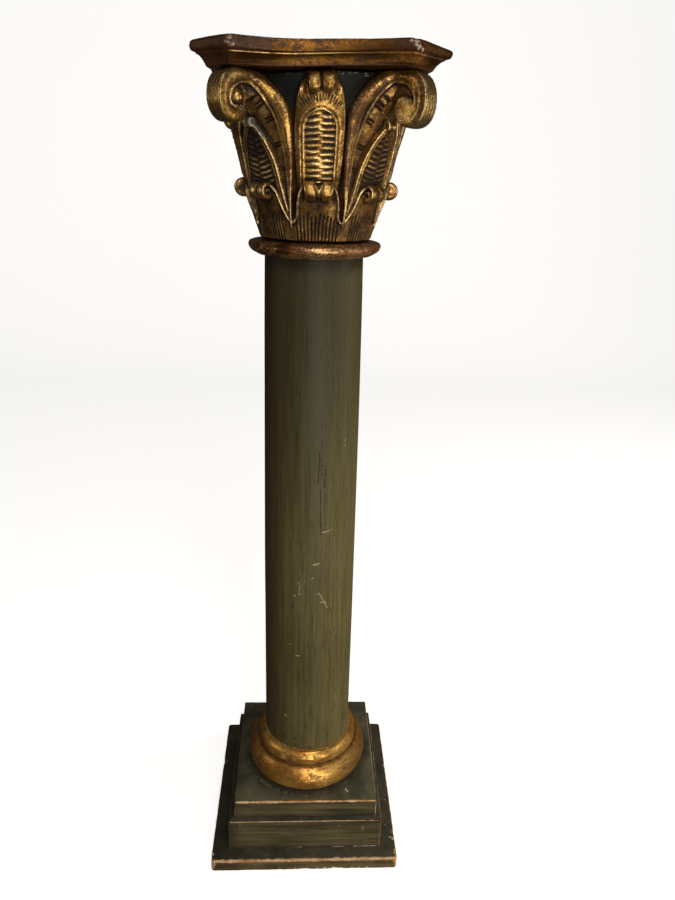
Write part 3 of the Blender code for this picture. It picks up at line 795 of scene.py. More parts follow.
def strokes(x, y, lines, width):
    """1 in the middle of short cuts given as (x0, y0, x1, y1), 0 outside them."""
    out = np.zeros(x.shape)
    for x0, y0, x1, y1 in lines:
        ex, ey = x1 - x0, y1 - y0
        t = np.clip(((x - x0) * ex + (y - y0) * ey) / (ex * ex + ey * ey), 0, 1)
        d = np.hypot(x - x0 - ex * t, y - y0 - ey * t)
        out = np.maximum(out, bump(d, width * (1.0 - 0.55 * np.abs(2 * t - 1) ** 3)))
    return out


DASHES = ((21.0, 1099.5, 10.0, 1090.5), (20.0, 1094.5, 10.0, 1086.5), (14.0, 1101.0, 7.0, 1095.0),
          (24.5, 1081.5, 15.0, 1077.0), (25.0, 1078.3, 16.0, 1074.0),
          (29.0, 1055.5, 19.5, 1052.3), (29.2, 1052.3, 20.0, 1049.4),
          (30.5, 1030.0, 24.0, 1028.0), (30.5, 1026.8, 24.2, 1025.0))


def relief(v):
    """Depth in millimetres of the tool marks at each point, outward positive, and how deep in a cut it is, 0 to 1."""
    az, face, o, s, corner, u, h, z = places(v)
    zone, table, along, across = parts_at(v)
    r = np.hypot(o, s)
    amount, cut = np.zeros(len(v)), np.zeros(len(v))

    # upright cuts at the foot of the lower leaves
    m = zone == LOW
    if m.any():
        pitch = 360.0 / 108
        t = az[m] / pitch + 0.10 * noise3(az[m] / 9.0, z[m] / 14.0, 0.0, 1.0, 3)
        number = np.floor(t).astype(int) % 108
        place = np.abs(t - np.floor(t) - 0.5) * np.radians(pitch) * r[m]
        top = 977.5 + 4.0 * lattice(number, number * 0, number * 0, 5) + 3.0 * np.cos(np.radians(az[m] * 8))
        g = bump(place, 1.5) * step(top - z[m], -1.0, 5.0) * step(z[m], 945.5, 947.5)
        # they stand in groups, with a plain strip under the point of each tall leaf
        aside = np.abs(np.mod(az[m] + 45.0, 90.0) - 45.0)
        g *= step(np.abs(aside - 25.0), 3.6, 5.2)
        g *= 0.85 + 0.22 * lattice(number, number * 0 + 1, number * 0, 6)
        amount[m] -= 1.5 * g
        cut[m] = np.maximum(cut[m], g)

    # ridges that reach into each other in the arched panels of the face leaves
    m = (zone == FACE) & (np.abs(s) < 24)
    if m.any():
        ss, zz, ff = s[m], z[m], face[m]
        p = panel(np.abs(ss), zz)
        inside = step(-p, 3.6, 4.9) * step(zz, 1010.0, 1013.0)
        lean = 0.045 * np.where(ff % 2 == 0, 1.0, -1.0)
        wob = 0.5 * noise3(ss / 7.0, zz / 9.0, ff * 3.1, 1.0, 11)
        turn = (zz - 1014.0 + wob - lean * ss + 0.012 * np.maximum(0, zz - 1066) / 10 * ss * ss * 0.35) / 6.3
        shift = ss + 1.6 * noise3(zz / 5.0, ff * 2.3, 0.0, 1.0, 12)
        left = 0.5 + 0.5 * np.cos(2 * np.pi * turn)
        right = 0.5 + 0.5 * np.cos(2 * np.pi * (turn + 0.5))
        wave = np.maximum(left * (1 - step(shift, -3.0, 7.0)), right * step(shift, -7.0, 3.0))
        sharp = 2.0 * wave ** 0.85 - 1.0
        strength = 0.9 + 0.15 * noise3(ss / 4.0, zz / 4.0, ff * 1.7, 1.0, 13)
        amount[m] += 0.95 * inside * sharp * strength
        cut[m] = np.maximum(cut[m], inside * np.clip(-sharp, 0, 1))
        # short cuts that fan out above the arch
        rad, ang = np.hypot(ss, zz - 1069.0), np.degrees(np.arctan2(ss, zz - 1069.0))
        t = ang / 6.0 + 0.15 * noise3(ang / 12.0, ff * 5.0, 0.0, 1.0, 14)
        number = np.floor(t).astype(int) + 40 + 100 * ff
        place = np.abs(t - np.floor(t) - 0.5) * np.radians(6.0) * rad
        start = 24.5 + 2.0 * lattice(number, number * 0, number * 0, 15) + 0.05 * np.abs(ang)
        stop = 32.0 + 2.5 * lattice(number, number * 0, number * 0 + 1, 15) + 0.10 * np.abs(ang)
        g = bump(place, 0.85) * step(rad, start, start + 2.0) * step(stop - rad, -0.5, 1.5) * step(54 - np.abs(ang), 0, 8)
        amount[m] -= 0.9 * g
        cut[m] = np.maximum(cut[m], g)

    # ribs across the leaf on each corner
    m = zone == MID
    if m.any():
        hh, zz, cc = h[m], z[m], corner[m]
        dm = mid_d(np.abs(hh), zz)
        inside = step(-dm, 7.2, 8.6) * step(zz, 1008.0, 1014.0) * step(1071.0 - zz, 0.0, 5.0)
        turn = (zz - 0.012 * hh * hh + 0.5 * noise3(hh / 8.0, zz / 9.0, cc * 3.0, 1.0, 21)) / 5.6
        side = step(hh, -4.0, 4.0)
        wave = np.cos(2 * np.pi * turn) * (1 - side) + np.cos(2 * np.pi * (turn + 0.5)) * side
        amount[m] += 0.55 * inside * wave
        cut[m] = np.maximum(cut[m], 0.6 * inside * np.clip(-wave, 0, 1))

    # short cuts beside the bands
    m = (zone == BODY) | (zone == SCROLL)
    if m.any():
        hh, zz = np.abs(h[m]), z[m] + 0.5 * noise3(corner[m] * 7.0 + np.sign(h[m]), z[m] / 12.0, 0.0, 1.0, 23)
        g = strokes(hh, zz, DASHES, 1.4) * (table[BAND][m] > 0.2) * (table[MID][m] > 0.2)
        g *= (zone[m] == BODY) | (table[BODY][m] < 1.5)
        amount[m] -= 1.5 * g
        cut[m] = np.maximum(cut[m], 1.15 * g)

    # fine upright scratches on the rolled tips
    for part, q, count in ((FACE_CURL, s, 2.1), (TOP_CURL, s, 1.9), (CORNER_CURL, h, 2.0)):
        m = zone == part
        if m.any():
            t = q[m] / count + 0.25 * noise3(q[m] / 6.0, z[m] / 5.0, face[m] * 1.3 + corner[m], 1.0, 30 + part)
            g = (0.5 - 0.5 * np.cos(2 * np.pi * t)) ** 2
            share = 0.5 + 0.5 * noise3(q[m] / 5.0, z[m] / 9.0, face[m] * 2.0, 1.0, 40 + part)
            amount[m] -= (0.32 if part == TOP_CURL else 0.16) * g * share
            cut[m] = np.maximum(cut[m], 0.45 * g * share)

    # fine lengthwise streaks on the bands
    m = zone == BAND
    if m.any():
        g = noise3(across[m] * 5.0, along[m] / 26.0, corner[m] * 3.0 + np.sign(h[m]), 1.0, 51)
        g = g + 0.6 * noise3(across[m] * 11.0, along[m] / 30.0, corner[m] * 3.0 + np.sign(h[m]), 1.0, 52)
        amount[m] += 0.16 * g * step(1.0 - np.abs(across[m]), 0.0, 0.25)
        cut[m] = np.maximum(cut[m], 0.3 * np.clip(-g, 0, 1))
    return amount, cut, zone, table


def blur3(grid, radius):
    """Box blur along the three axes, mirrored at the low x and y sides, edge values carried on elsewhere."""
    out = grid
    for axis in range(3):
        before = np.flip(np.take(out, range(1, radius + 1), axis), axis) if axis < 2 else np.repeat(np.take(out, [0], axis), radius, axis)
        after = np.repeat(np.take(out, [-1], axis), radius, axis)
        wide = np.concatenate([before, out, after], axis)
        total = np.cumsum(wide, axis, dtype=np.float32)
        first = np.zeros_like(np.take(total, [0], axis))
        total = np.concatenate([first, total], axis)
        n = out.shape[axis]
        w = 2 * radius + 1
        hi = np.take(total, range(w, w + n), axis)
        lo = np.take(total, range(0, n), axis)
        out = (hi - lo) / w
    return out


def hollows(v, made):
    """How enclosed each point is, near and far: about 0.5 on a flat, more in a hollow, less on an edge."""
    az, face, o, s, corner, u, h, z = places(v)
    a, b = (u + np.abs(h)) / math.sqrt(2), (u - np.abs(h)) / math.sqrt(2)
    near, far = np.full(len(v), 0.5), np.full(len(v), 0.5)
    for which, (_, _, g, ax, azs) in made.items():
        m = np.isin(corner, [i for i in range(4) if ORDER[i] == which])
        cell = ax[1] - ax[0]
        solid_here = (g < 0).astype(np.float32)
        # the board above shades the top of the carving
        solid_here[:, :, azs > Z1 + 0.2] = 0.8
        for radius, out in ((max(1, int(round(2.6 / cell))), near), (max(2, int(round(8.0 / cell))), far)):
            soft = blur3(blur3(solid_here, radius), max(1, radius // 2))
            fi, fj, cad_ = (a[m] - ax[0]) / cell, (b[m] - ax[0]) / cell, (z[m] - azs[0]) / cell
            i, j, k = [np.clip(t.astype(int), 0, n - 2) for t, n in zip((fi, fj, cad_), soft.shape)]
            p, q, r = fi - i, fj - j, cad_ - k
            value = 0.0
            for di in (0, 1):
                for dj in (0, 1):
                    for dk in (0, 1):
                        value = value + soft[i + di, j + dj, k + dk] * (p if di else 1 - p) * (q if dj else 1 - q) * (r if dk else 1 - r)
            out[m] = value
    return near, far


def toned(v, zone):
    """How much brown toning was left on each part, 0 to 1, with less on the right side as painted light."""
    az, face, o, s, corner, u, h, z = places(v)
    out = np.zeros(len(v))
    for part, amount in ((LOW, 0.62), (FACE, 0.0), (MID, 0.40), (BODY, 0.34), (BAND, 0.26), (SCROLL, 0.24),
                         (FACE_CURL, 0.20), (TOP_CURL, 0.30), (CORNER_CURL, 0.26), (TIP_CURL, 0.35)):
        out[zone == part] = amount
    m = zone == FACE
    out[m] = 0.50 * step(np.abs(s[m]), 20.0, 27.0)
    m = zone == MID
    out[m] += 0.72 * step(-mid_d(np.abs(h[m]), z[m]), 4.0, 8.0)
    m = zone == LOW
    out[m] -= 0.25 * step(z[m], 985.0, 1003.0)
    # painted light: the parts on the right carry less toning than those on the left, as the right side is lit
    right = step(v[:, 0], 5.0, 40.0)
    for part, amount in ((BODY, 0.72), (MID, 0.42), (SCROLL, 0.25)):
        m = zone == part
        out[m] -= amount * right[m]
    return out


def make_capital():
    v, q, made = whole(0.8, ORDER)
    v = relax(v, q, 0.5, 1)
    amount = relief(v)[0]
    n = normals_of(v, q)
    amount = amount + 0.10 * noise3(v[:, 0], v[:, 1], v[:, 2], 2.6, 61) + 0.16 * noise3(v[:, 0], v[:, 1], v[:, 2], 7.0, 62)
    w = v + n * amount[:, None]
    # nothing quite true: the whole carving wanders by half a millimetre
    for k in range(3):
        sway = 0.45 * noise3(v[:, 0], v[:, 1], v[:, 2], 34.0, 70 + k) + 0.22 * noise3(v[:, 0], v[:, 1], v[:, 2], 15.0, 80 + k)
        w[:, k] += sway * (1.0 if k < 2 else step(1121.0 - v[:, 2], 0, 10) * step(v[:, 2], 950, 960))
    w[:, 2] = np.clip(w[:, 2], Z0, Z1)
    me = mesh_of("capital", w / 1000.0, q)
    obj = add("capital_carving", me)
    target = 190000
    count = 2 * len(q)
    if count > target:
        mod = obj.modifiers.new("fewer", "DECIMATE")
        mod.ratio = target / count
        graph = bpy.context.evaluated_depsgraph_get()
        fine = bpy.data.meshes.new_from_object(obj.evaluated_get(graph))
        obj.modifiers.clear()
        obj.data = fine
        bpy.data.meshes.remove(me)
        me = fine
    me.shade_smooth()
    co = np.empty(len(me.vertices) * 3, np.float32)
    me.vertices.foreach_get("co", co)
    p = co.reshape(-1, 3).astype(float) * 1000.0
    p -= 1000.0 * np.array([SHIFT_X, SHIFT_Y, DATUM])
    _, cut, zone, table = relief(p)
    # how enclosed each point is: it sets the brown toning and the painted shade in the hollows and under the board, and
    # the painted highlight on the edges
    near, far = hollows(p, made)
    put_attribute(me, "cut", cut)
    put_attribute(me, "near", near)
    put_attribute(me, "far", far)
    put_attribute(me, "bell", (zone == BELL) * 1.0)
    put_attribute(me, "band", (zone == BAND) * 1.0)
    put_attribute(me, "old", toned(p, zone))
    # the lines that run round the rolled edge of each scroll
    _, _, _, _, _, u, h, z = places(p)
    put_attribute(me, "aside", h)
    put_attribute(me, "rolled", ((zone == SCROLL) & (np.abs(h) < 11.8) & (u > 116) & (scroll_d(u, z) > -2.4)) * 1.0)
    # the carving as a whole is turned a little, its scrolls more than its leaves
    r = np.hypot(p[:, 0], p[:, 1])
    turn = np.radians(0.55 + 1.2 * step(r, 104.0, 140.0)) * step(p[:, 2], 950.0, 990.0)
    x = p[:, 0] * np.cos(turn) - p[:, 1] * np.sin(turn)
    y = p[:, 0] * np.sin(turn) + p[:, 1] * np.cos(turn)
    z = p[:, 2] + out_of_level(x, p[:, 2])
    z = np.where(p[:, 2] > Z1 - 0.01, Z1 + out_of_level(x, np.full(len(p), Z1)), z)
    me.vertices.foreach_set("co", (np.stack([x, y, z], 1) / 1000.0 + np.array([SHIFT_X, SHIFT_Y, DATUM])).astype(np.float32).ravel())
    me.update()
    return obj, me


# ------------------------------------------------------------ plinth boards
def spread(lo, hi, edge, pitch):
    """Places from lo to hi, close together near both ends."""
    near = [edge * t for t in (0.0, 0.2, 0.42, 0.68, 1.0, 1.5, 2.4, 3.8)]
    inner = np.arange(near[-1], (hi - lo) - near[-1] + 1e-9, (hi - lo - 2 * near[-1]) / max(1, round((hi - lo - 2 * near[-1]) / pitch)))
    return lo + np.array(sorted(set(np.round(np.concatenate([near, inner, [(hi - lo) - t for t in near]]), 6))))


def board_mesh(name, half, depth, shift, z0, z1, edge, corner, wear, seed, chips, pitch=0.0032):
    """A board with worn arrises. Points are laid on a box and drawn in over its edges.

    `wear` gives how wide the bare wood is along the front, back, left and right top
    arris, the front foot, and the left and right front corners."""
    xs, ys, zs = spread(-half, half, 0.0016, pitch), spread(-depth, depth, 0.0016, pitch), spread(z0, z1, 0.0016, pitch)
    points, quads, n = [], [], 0
    for axis, sign in ((0, -1), (0, 1), (1, -1), (1, 1), (2, -1), (2, 1)):
        ga = ys if axis == 0 else xs
        gb = zs if axis < 2 else ys
        A, B = np.meshgrid(ga, gb, indexing="ij")
        C = np.full(A.shape, (sign * (half, depth)[axis]) if axis < 2 else (z1 if sign > 0 else z0))
        p = {0: (C, A, B), 1: (A, C, B), 2: (A, B, C)}[axis]
        p = np.stack(p, -1).reshape(-1, 3)
        i, j = np.meshgrid(np.arange(len(ga) - 1), np.arange(len(gb) - 1), indexing="ij")
        a = (i * len(gb) + j).ravel() + n
        quad = np.stack([a, a + len(gb), a + len(gb) + 1, a + 1], 1)
        # outward side
        first = p[quad[0] - n]
        normal = np.cross(first[1] - first[0], first[2] - first[0])
        if normal[axis] * sign < 0:
            quad = quad[:, ::-1]
        points.append(p)
        quads.append(quad)
        n += len(p)
    p, q = np.vstack(points), np.vstack(quads)
    key = np.round(p * 1e6).astype(np.int64)
    _, first, inverse = np.unique(key, axis=0, return_index=True, return_inverse=True)
    p, q = p[first], inverse.reshape(-1)[q]
    x, y, z = p.T
    to = {"left": x + half, "right": half - x, "front": y + depth, "back": depth - y, "top": z1 - z, "foot": z - z0}
    arris = [("front", "top"), ("back", "top"), ("left", "top"), ("right", "top"), ("front", "foot"), ("left", "front"), ("right", "front")]
    far = [np.maximum(to[a], to[b]) for a, b in arris] + [np.sort(np.stack(list(to.values())), 0)[1]]
    share = np.stack([1.0 / (d + 0.0006) ** 3 for d in far])
    widths = np.array(list(wear) + [0.0])[:, None] * 0.001
    # the last row stands for every other edge, which is hardly worn
    share[-1] = np.where(far[-1] < np.min(far[:-1], 0) - 1e-6, share[-1], 0.0)
    width = (share * widths).sum(0) / share.sum(0)
    e = edge * (1.0 + 0.45 * noise3(x, y, z, 0.030, seed) + 0.35 * noise3(x, y, z, 0.011, seed + 1)) + 0.30 * width
    e = np.clip(e, 0.0004, 0.0026)[:, None]
    lo, hi = np.array([-half, -depth, z0]), np.array([half, depth, z1])
    inner = np.clip(p, lo + e, hi - e)
    d = p - inner
    length = np.maximum(np.linalg.norm(d, axis=1), 1e-9)[:, None]
    out = inner + d / length * e
    n = d / length
    # near an edge the wood is nicked, and the faces aren't quite flat
    to_edge = far[-1]
    nick = np.clip(noise3(x, y, z, 0.007, seed + 2) - 0.42, 0, 1) * 0.0016 * step(0.004 - to_edge, 0.0, 0.003)
    flat = 0.00014 * (1 + noise3(x, y, z, 0.040, seed + 3)) + 0.00005 * (1 + noise3(x, y, z * 3.0, 0.006, seed + 4))
    move = nick + flat
    move = np.where(z <= z0 + 1e-6, 0.0, move)[:, None]
    out = out - n * move
    for c, radius, depth_ in chips:
        out = dent(out, n, c, radius, depth_, seed + 5)
    # corners rounded in plan
    inside = np.clip(out[:, :2], [-half + corner, -depth + corner], [half - corner, depth - corner])
    d = out[:, :2] - inside
    length = np.hypot(d[:, 0], d[:, 1])
    scale = np.where(length > 1e-9, np.abs(d).max(1) / np.maximum(length, 1e-9), 1.0)
    out[:, :2] = inside + d * scale[:, None]
    out[:, :2] += shift
    out[:, 2] = np.clip(out[:, 2], z0, z1)
    me = mesh_of(name, out, q)
    put_attribute(me, "edge", to_edge)
    put_attribute(me, "wear", width)
    return me


# ------------------------------------------------------------ turned pieces
def turned_mesh(name, line, segments, uneven, seed, closed=True, wander=0.0002):
    """Lathe of the (radius, height) line from the foot upwards, closed by discs."""
    line = np.asarray(line, float)
    a = np.arange(segments) * 2 * np.pi / segments
    ca, sa = np.cos(a)[None, :], np.sin(a)[None, :]
    r, z = line[:, :1], line[:, 1:2]
    x, y = r * ca, r * sa
    zz = z + 0 * ca
    slope = np.gradient(line, axis=0)
    slope /= np.maximum(np.linalg.norm(slope, axis=1), 1e-9)[:, None]
    nr, nz = slope[:, 1:2], -slope[:, :1]
    push = uneven(x, y, zz, seed)
    rr = r + nr * push
    zz = zz + nz * push
    lowest, highest = line[:, 1].min(), line[:, 1].max()
    zz = np.clip(zz, lowest, highest)
    v = np.stack([rr * ca + wander * noise3(0, 0, z, 0.12, seed + 8), rr * sa + wander * noise3(0, 0, z, 0.12, seed + 9), zz], -1)
    rows = len(line)
    v = v.reshape(-1, 3)
    i, j = np.meshgrid(np.arange(rows - 1), np.arange(segments), indexing="ij")
    a0 = (i * segments + j).ravel()
    a1 = (i * segments + (j + 1) % segments).ravel()
    q = [np.stack([a0, a1, a1 + segments, a0 + segments], 1)]
    # discs of quads at both ends, in rings towards the middle
    verts = [v]
    count = len(v)
    for end, flip in ((0, True), (rows - 1, False)):
        ring = np.arange(segments) + end * segments
        base = v[ring]
        for share in (0.97, 0.85, 0.6, 0.3, 0.04):
            new = base.copy()
            new[:, :2] *= share
            new[:, 2] = line[end, 1]
            ids = np.arange(segments) + count
            verts.append(new)
            count += segments
            nxt = np.roll(np.arange(segments), -1)
            f = np.stack([ring, ring[nxt], ids[nxt], ids], 1)
            q.append(f[:, ::-1] if flip else f)
            ring = ids
        # small middle: quads across
        half_n = segments // 2
        k = np.arange(half_n - 1)
        f = np.stack([ring[k], ring[k + 1], ring[segments - 2 - k], ring[segments - 1 - k]], 1)
        q.append(f[:, ::-1] if flip else f)
    return mesh_of(name, np.vstack(verts), np.vstack(q))


def smooth_line(points, pitch):
    """Points along a smooth curve through the given ones, `pitch` apart."""
    p = np.array(points, float)
    length = np.linalg.norm(np.diff(p, axis=0), axis=1).sum()
    return through(p * 1000.0, max(3, int(length / pitch) + 1))[:, :2] / 1000.0


def joined(*lines):
    out = [lines[0]]
    for line in lines[1:]:
        out.append(line[1:])
    return np.vstack(out)


def base_line():
    torus = smooth_line([(0.0800, 0.1030), (0.0890, 0.1048), (0.0945, 0.1092), (0.0967, 0.1160), (0.0967, 0.1235),
                         (0.0940, 0.1335), (0.0880, 0.1422), (0.0838, 0.1449), (0.0795, 0.1460)], 0.0011)
    upper = smooth_line([(0.0795, 0.1460), (0.0803, 0.1478), (0.0805, 0.1505), (0.0800, 0.1552), (0.0778, 0.1607), (0.0738, 0.1645), (0.0690, 0.1667)], 0.0009)
    return joined(torus, upper)


def base_uneven(x, y, z, seed):
    big = 0.00035 * noise3(x, y, z * 1.6, 0.045, seed)
    small = 0.00010 * noise3(x, y, z * 3.0, 0.007, seed + 1)
    # shallow turning lines
    lines = 0.00007 * np.sin(z * 2 * np.pi / 0.0042 + 1.5 * noise3(x, y, 0, 0.05, seed + 2))
    pits = -0.00035 * np.clip(noise3(x, y, z, 0.0045, seed + 3) - 0.62, 0, 1) * 3.0
    return big + small + lines + pits


def ring_line():
    roll = smooth_line([(0.0728, 0.9261), (0.0750, 0.9268), (0.0773, 0.9281), (0.0797, 0.9295), (0.0817, 0.9309), (0.0834, 0.9328), (0.0846, 0.9350),
                        (0.0851, 0.9373), (0.0848, 0.9394), (0.0836, 0.9412), (0.0816, 0.9422), (0.0790, 0.9427), (0.0760, 0.9434), (0.0730, 0.9442), (0.0702, 0.9447)], 0.0009)
    return joined(np.array([(0.0640, 0.9260), (0.0728, 0.9261)]), roll, np.array([(0.0702, 0.9447), (0.0688, 0.9448), (0.0687, 0.94668), (0.0600, 0.94668)]))


def ring_uneven(x, y, z, seed):
    big = 0.00042 * noise3(x, y, z, 0.030, seed)
    small = 0.00018 * noise3(x, y, z * 1.5, 0.008, seed + 1)
    pits = -0.0005 * np.clip(noise3(x, y, z, 0.005, seed + 2) - 0.50, 0, 1) * 3.0
    return np.where(np.hypot(x, y) > 0.0722, big + small + pits, 0.0) - 0.0003


def shaft_line():
    rows = np.array([(.0685, .1670), (.0683, .3), (.0676, .5), (.0664, .7), (.0650, .85), (.0639, .9254)])
    curve = smooth_curve([(z * 1000, r * 1000) for r, z in rows], 40)
    z = np.concatenate([np.linspace(167.0, 171.0, 5), np.arange(175.0, 922.0, 4.6), np.linspace(922.3, 925.4, 4)])
    return np.stack([curve(z) / 1000.0, z / 1000.0], 1)


def shaft_uneven(x, y, z, seed):
    broad = 0.00022 * noise3(x, y, z * 0.16, 0.040, seed)
    strokes_ = 0.00005 * noise3(x, y, z * 0.05, 0.0045, seed + 1)
    return broad + strokes_ - 0.0002


def leaning(me, low, high):
    """Move a turned piece sideways: `low` at its foot and `high` at its top."""
    co = np.empty(len(me.vertices) * 3, np.float32)
    me.vertices.foreach_get("co", co)
    co = co.reshape(-1, 3)
    z = co[:, 2]
    co[:, 0] += low + (high - low) * (z - z.min()) / (z.max() - z.min())
    me.vertices.foreach_set("co", co.ravel())
    me.update()
    return me


# ------------------------------------------------------------ abacus
def abacus_line():
    """(inset, height) from the underside outwards and up to the top."""
    cove = smooth_line([(0.0195, 1.1262), (0.0178, 1.1285), (0.0152, 1.1318), (0.0112, 1.1350), (0.0075, 1.1364)], 0.0008)
    fillet = np.array([(0.0075, 1.1364), (0.00735, 1.1371), (0.00715, 1.1377), (0.0066, 1.13795), (0.0054, 1.1380), (0.0042, 1.1382)])
    lip = smooth_line([(0.0042, 1.1382), (0.0026, 1.1391), (0.0012, 1.1412), (0.0002, 1.1452), (0.0004, 1.1492), (0.0020, 1.1512), (0.0042, 1.1520)], 0.0007)
    return joined(cove, fillet, lip)


def abacus_plan(inset, hollow_share, steps, cut_steps):
    half = 0.1406 - inset
    cut = 0.0448 - inset * 1.0103
    hollow = 0.0045 + (0.0160 - 0.0045) * hollow_share
    reach = half - cut
    e = 0.0035 / max(reach, 0.01)
    near = np.array([0.0, 0.12, 0.25, 0.4, 0.6, 0.8, 1.0, 1.4, 2.0]) * e
    inner = np.linspace(near[-1], 2 - near[-1], steps)[1:-1]
    t = np.concatenate([near, inner, 2 - near[::-1]]) - 1
    c = np.concatenate([[0.02, 0.05, 0.09, 0.15], np.linspace(0.2, 0.8, cut_steps), [0.85, 0.91, 0.95, 0.98]])
    ring = []
    for side in range(4):
        a = math.radians(90.0 * side)
        x, y = reach * t, -half + hollow * (1 - t * t)
        px, py = x * math.cos(a) - y * math.sin(a), x * math.sin(a) + y * math.cos(a)
        ring.append(np.stack([px, py], 1))
        b = math.radians(90.0 * (side + 1))
        x2, y2 = -reach, -half
        nx, ny = x2 * math.cos(b) - y2 * math.sin(b), x2 * math.sin(b) + y2 * math.cos(b)
        ring.append(np.stack([px[-1] + (nx - px[-1]) * c, py[-1] + (ny - py[-1]) * c], 1))
    # the lip reaches further to the right than to the left
    return np.vstack(ring) + np.array([0.0017 * hollow_share, 0.0])


def round_off(ring, rounds):
    for _ in range(rounds):
        ring = 0.5 * ring + 0.25 * (np.roll(ring, 1, 0) + np.roll(ring, -1, 0))
    return ring


def abacus_mesh():
    line = abacus_line()
    rings = []
    for inset, z in line:
        share = 1.0 - inset / 0.0195
        ring = round_off(abacus_plan(inset, share, 60, 20), 5)
        rings.append(np.column_stack([ring, np.full(len(ring), z)]))
    # underside and top, in rings towards the middle
    under = [np.column_stack([rings[0][:, :2] * k, np.full(len(rings[0]), line[0, 1])]) for k in (0.03, 0.25, 0.5, 0.75, 0.93)]
    top = [np.column_stack([rings[-1][:, :2] * k, np.full(len(rings[0]), line[-1, 1])]) for k in
           (0.993, 0.98, 0.96, 0.93, 0.9, 0.86, 0.81, 0.76, 0.7, 0.64, 0.57, 0.5, 0.42, 0.34, 0.26, 0.18, 0.1, 0.03)]
    allr = np.array(under + rings + top)
    rows, n = allr.shape[0], allr.shape[1]
    v = allr.reshape(-1, 3)
    i, j = np.meshgrid(np.arange(rows - 1), np.arange(n), indexing="ij")
    a0, a1 = (i * n + j).ravel(), (i * n + (j + 1) % n).ravel()
    q = [np.stack([a0, a1, a1 + n, a0 + n], 1)]
    k = np.arange(n // 2 - 1)
    for ring, flip in ((np.arange(n), True), (np.arange(n) + (rows - 1) * n, False)):
        f = np.stack([ring[k], ring[k + 1], ring[n - 2 - k], ring[n - 1 - k]], 1)
        q.append(f[:, ::-1] if flip else f)
    q = np.vstack(q)
    normal = normals_of(v, q)
    x, y, z = v.T
    worn = np.clip(noise3(x, y, z, 0.012, 201) - 0.35, 0, 1) * 0.0011 * step(z, 1.1390, 1.1470)
    flat = 0.00022 * (1 + noise3(x, y, z, 0.030, 202)) + 0.00008 * (1 + noise3(x, y, z * 2, 0.006, 203))
    v = v - normal * (worn + flat)[:, None]
    for c, radius, depth in ABACUS_CHIPS:
        v = dent(v, normal, c, radius, depth, 205)
    v[:, 2] = np.clip(v[:, 2], 1.1262, 1.1520)
    level = v[:, 2].copy()
    v[:, 2] += out_of_level(v[:, 0] * 1000.0, v[:, 2] * 1000.0) / 1000.0
    me = mesh_of("abacus", v, q)
    put_attribute(me, "level", (level - 1.1262) * 100.0)
    put_attribute(me, "crown", step(normals_of(v, q)[:, 2], 0.90, 0.98) * step(level, 1.1495, 1.1505))
    return me


ABACUS_CHIPS = (((0.0985, -0.1400, 1.1505), 0.0090, 0.0020), ((0.1045, -0.1330, 1.1490), 0.006, 0.0014),
                ((-0.0930, -0.1400, 1.1505), 0.0060, 0.0009), ((-0.0780, -0.1370, 1.1518), 0.0080, 0.0007),
                ((-0.1390, -0.0930, 1.1500), 0.0075, 0.0013), ((0.1400, 0.0945, 1.1500), 0.0080, 0.0013),
                ((-0.0300, 0.1250, 1.1510), 0.0060, 0.0008), ((0.1260, 0.0100, 1.1505), 0.0055, 0.0008))

# ------------------------------------------------------------ materials
def srgb(r, g, b):
    def lin(c):
        c /= 255.0
        return c / 12.92 if c <= 0.04045 else ((c + 0.055) / 1.055) ** 2.4
    return (lin(r), lin(g), lin(b), 1.0)


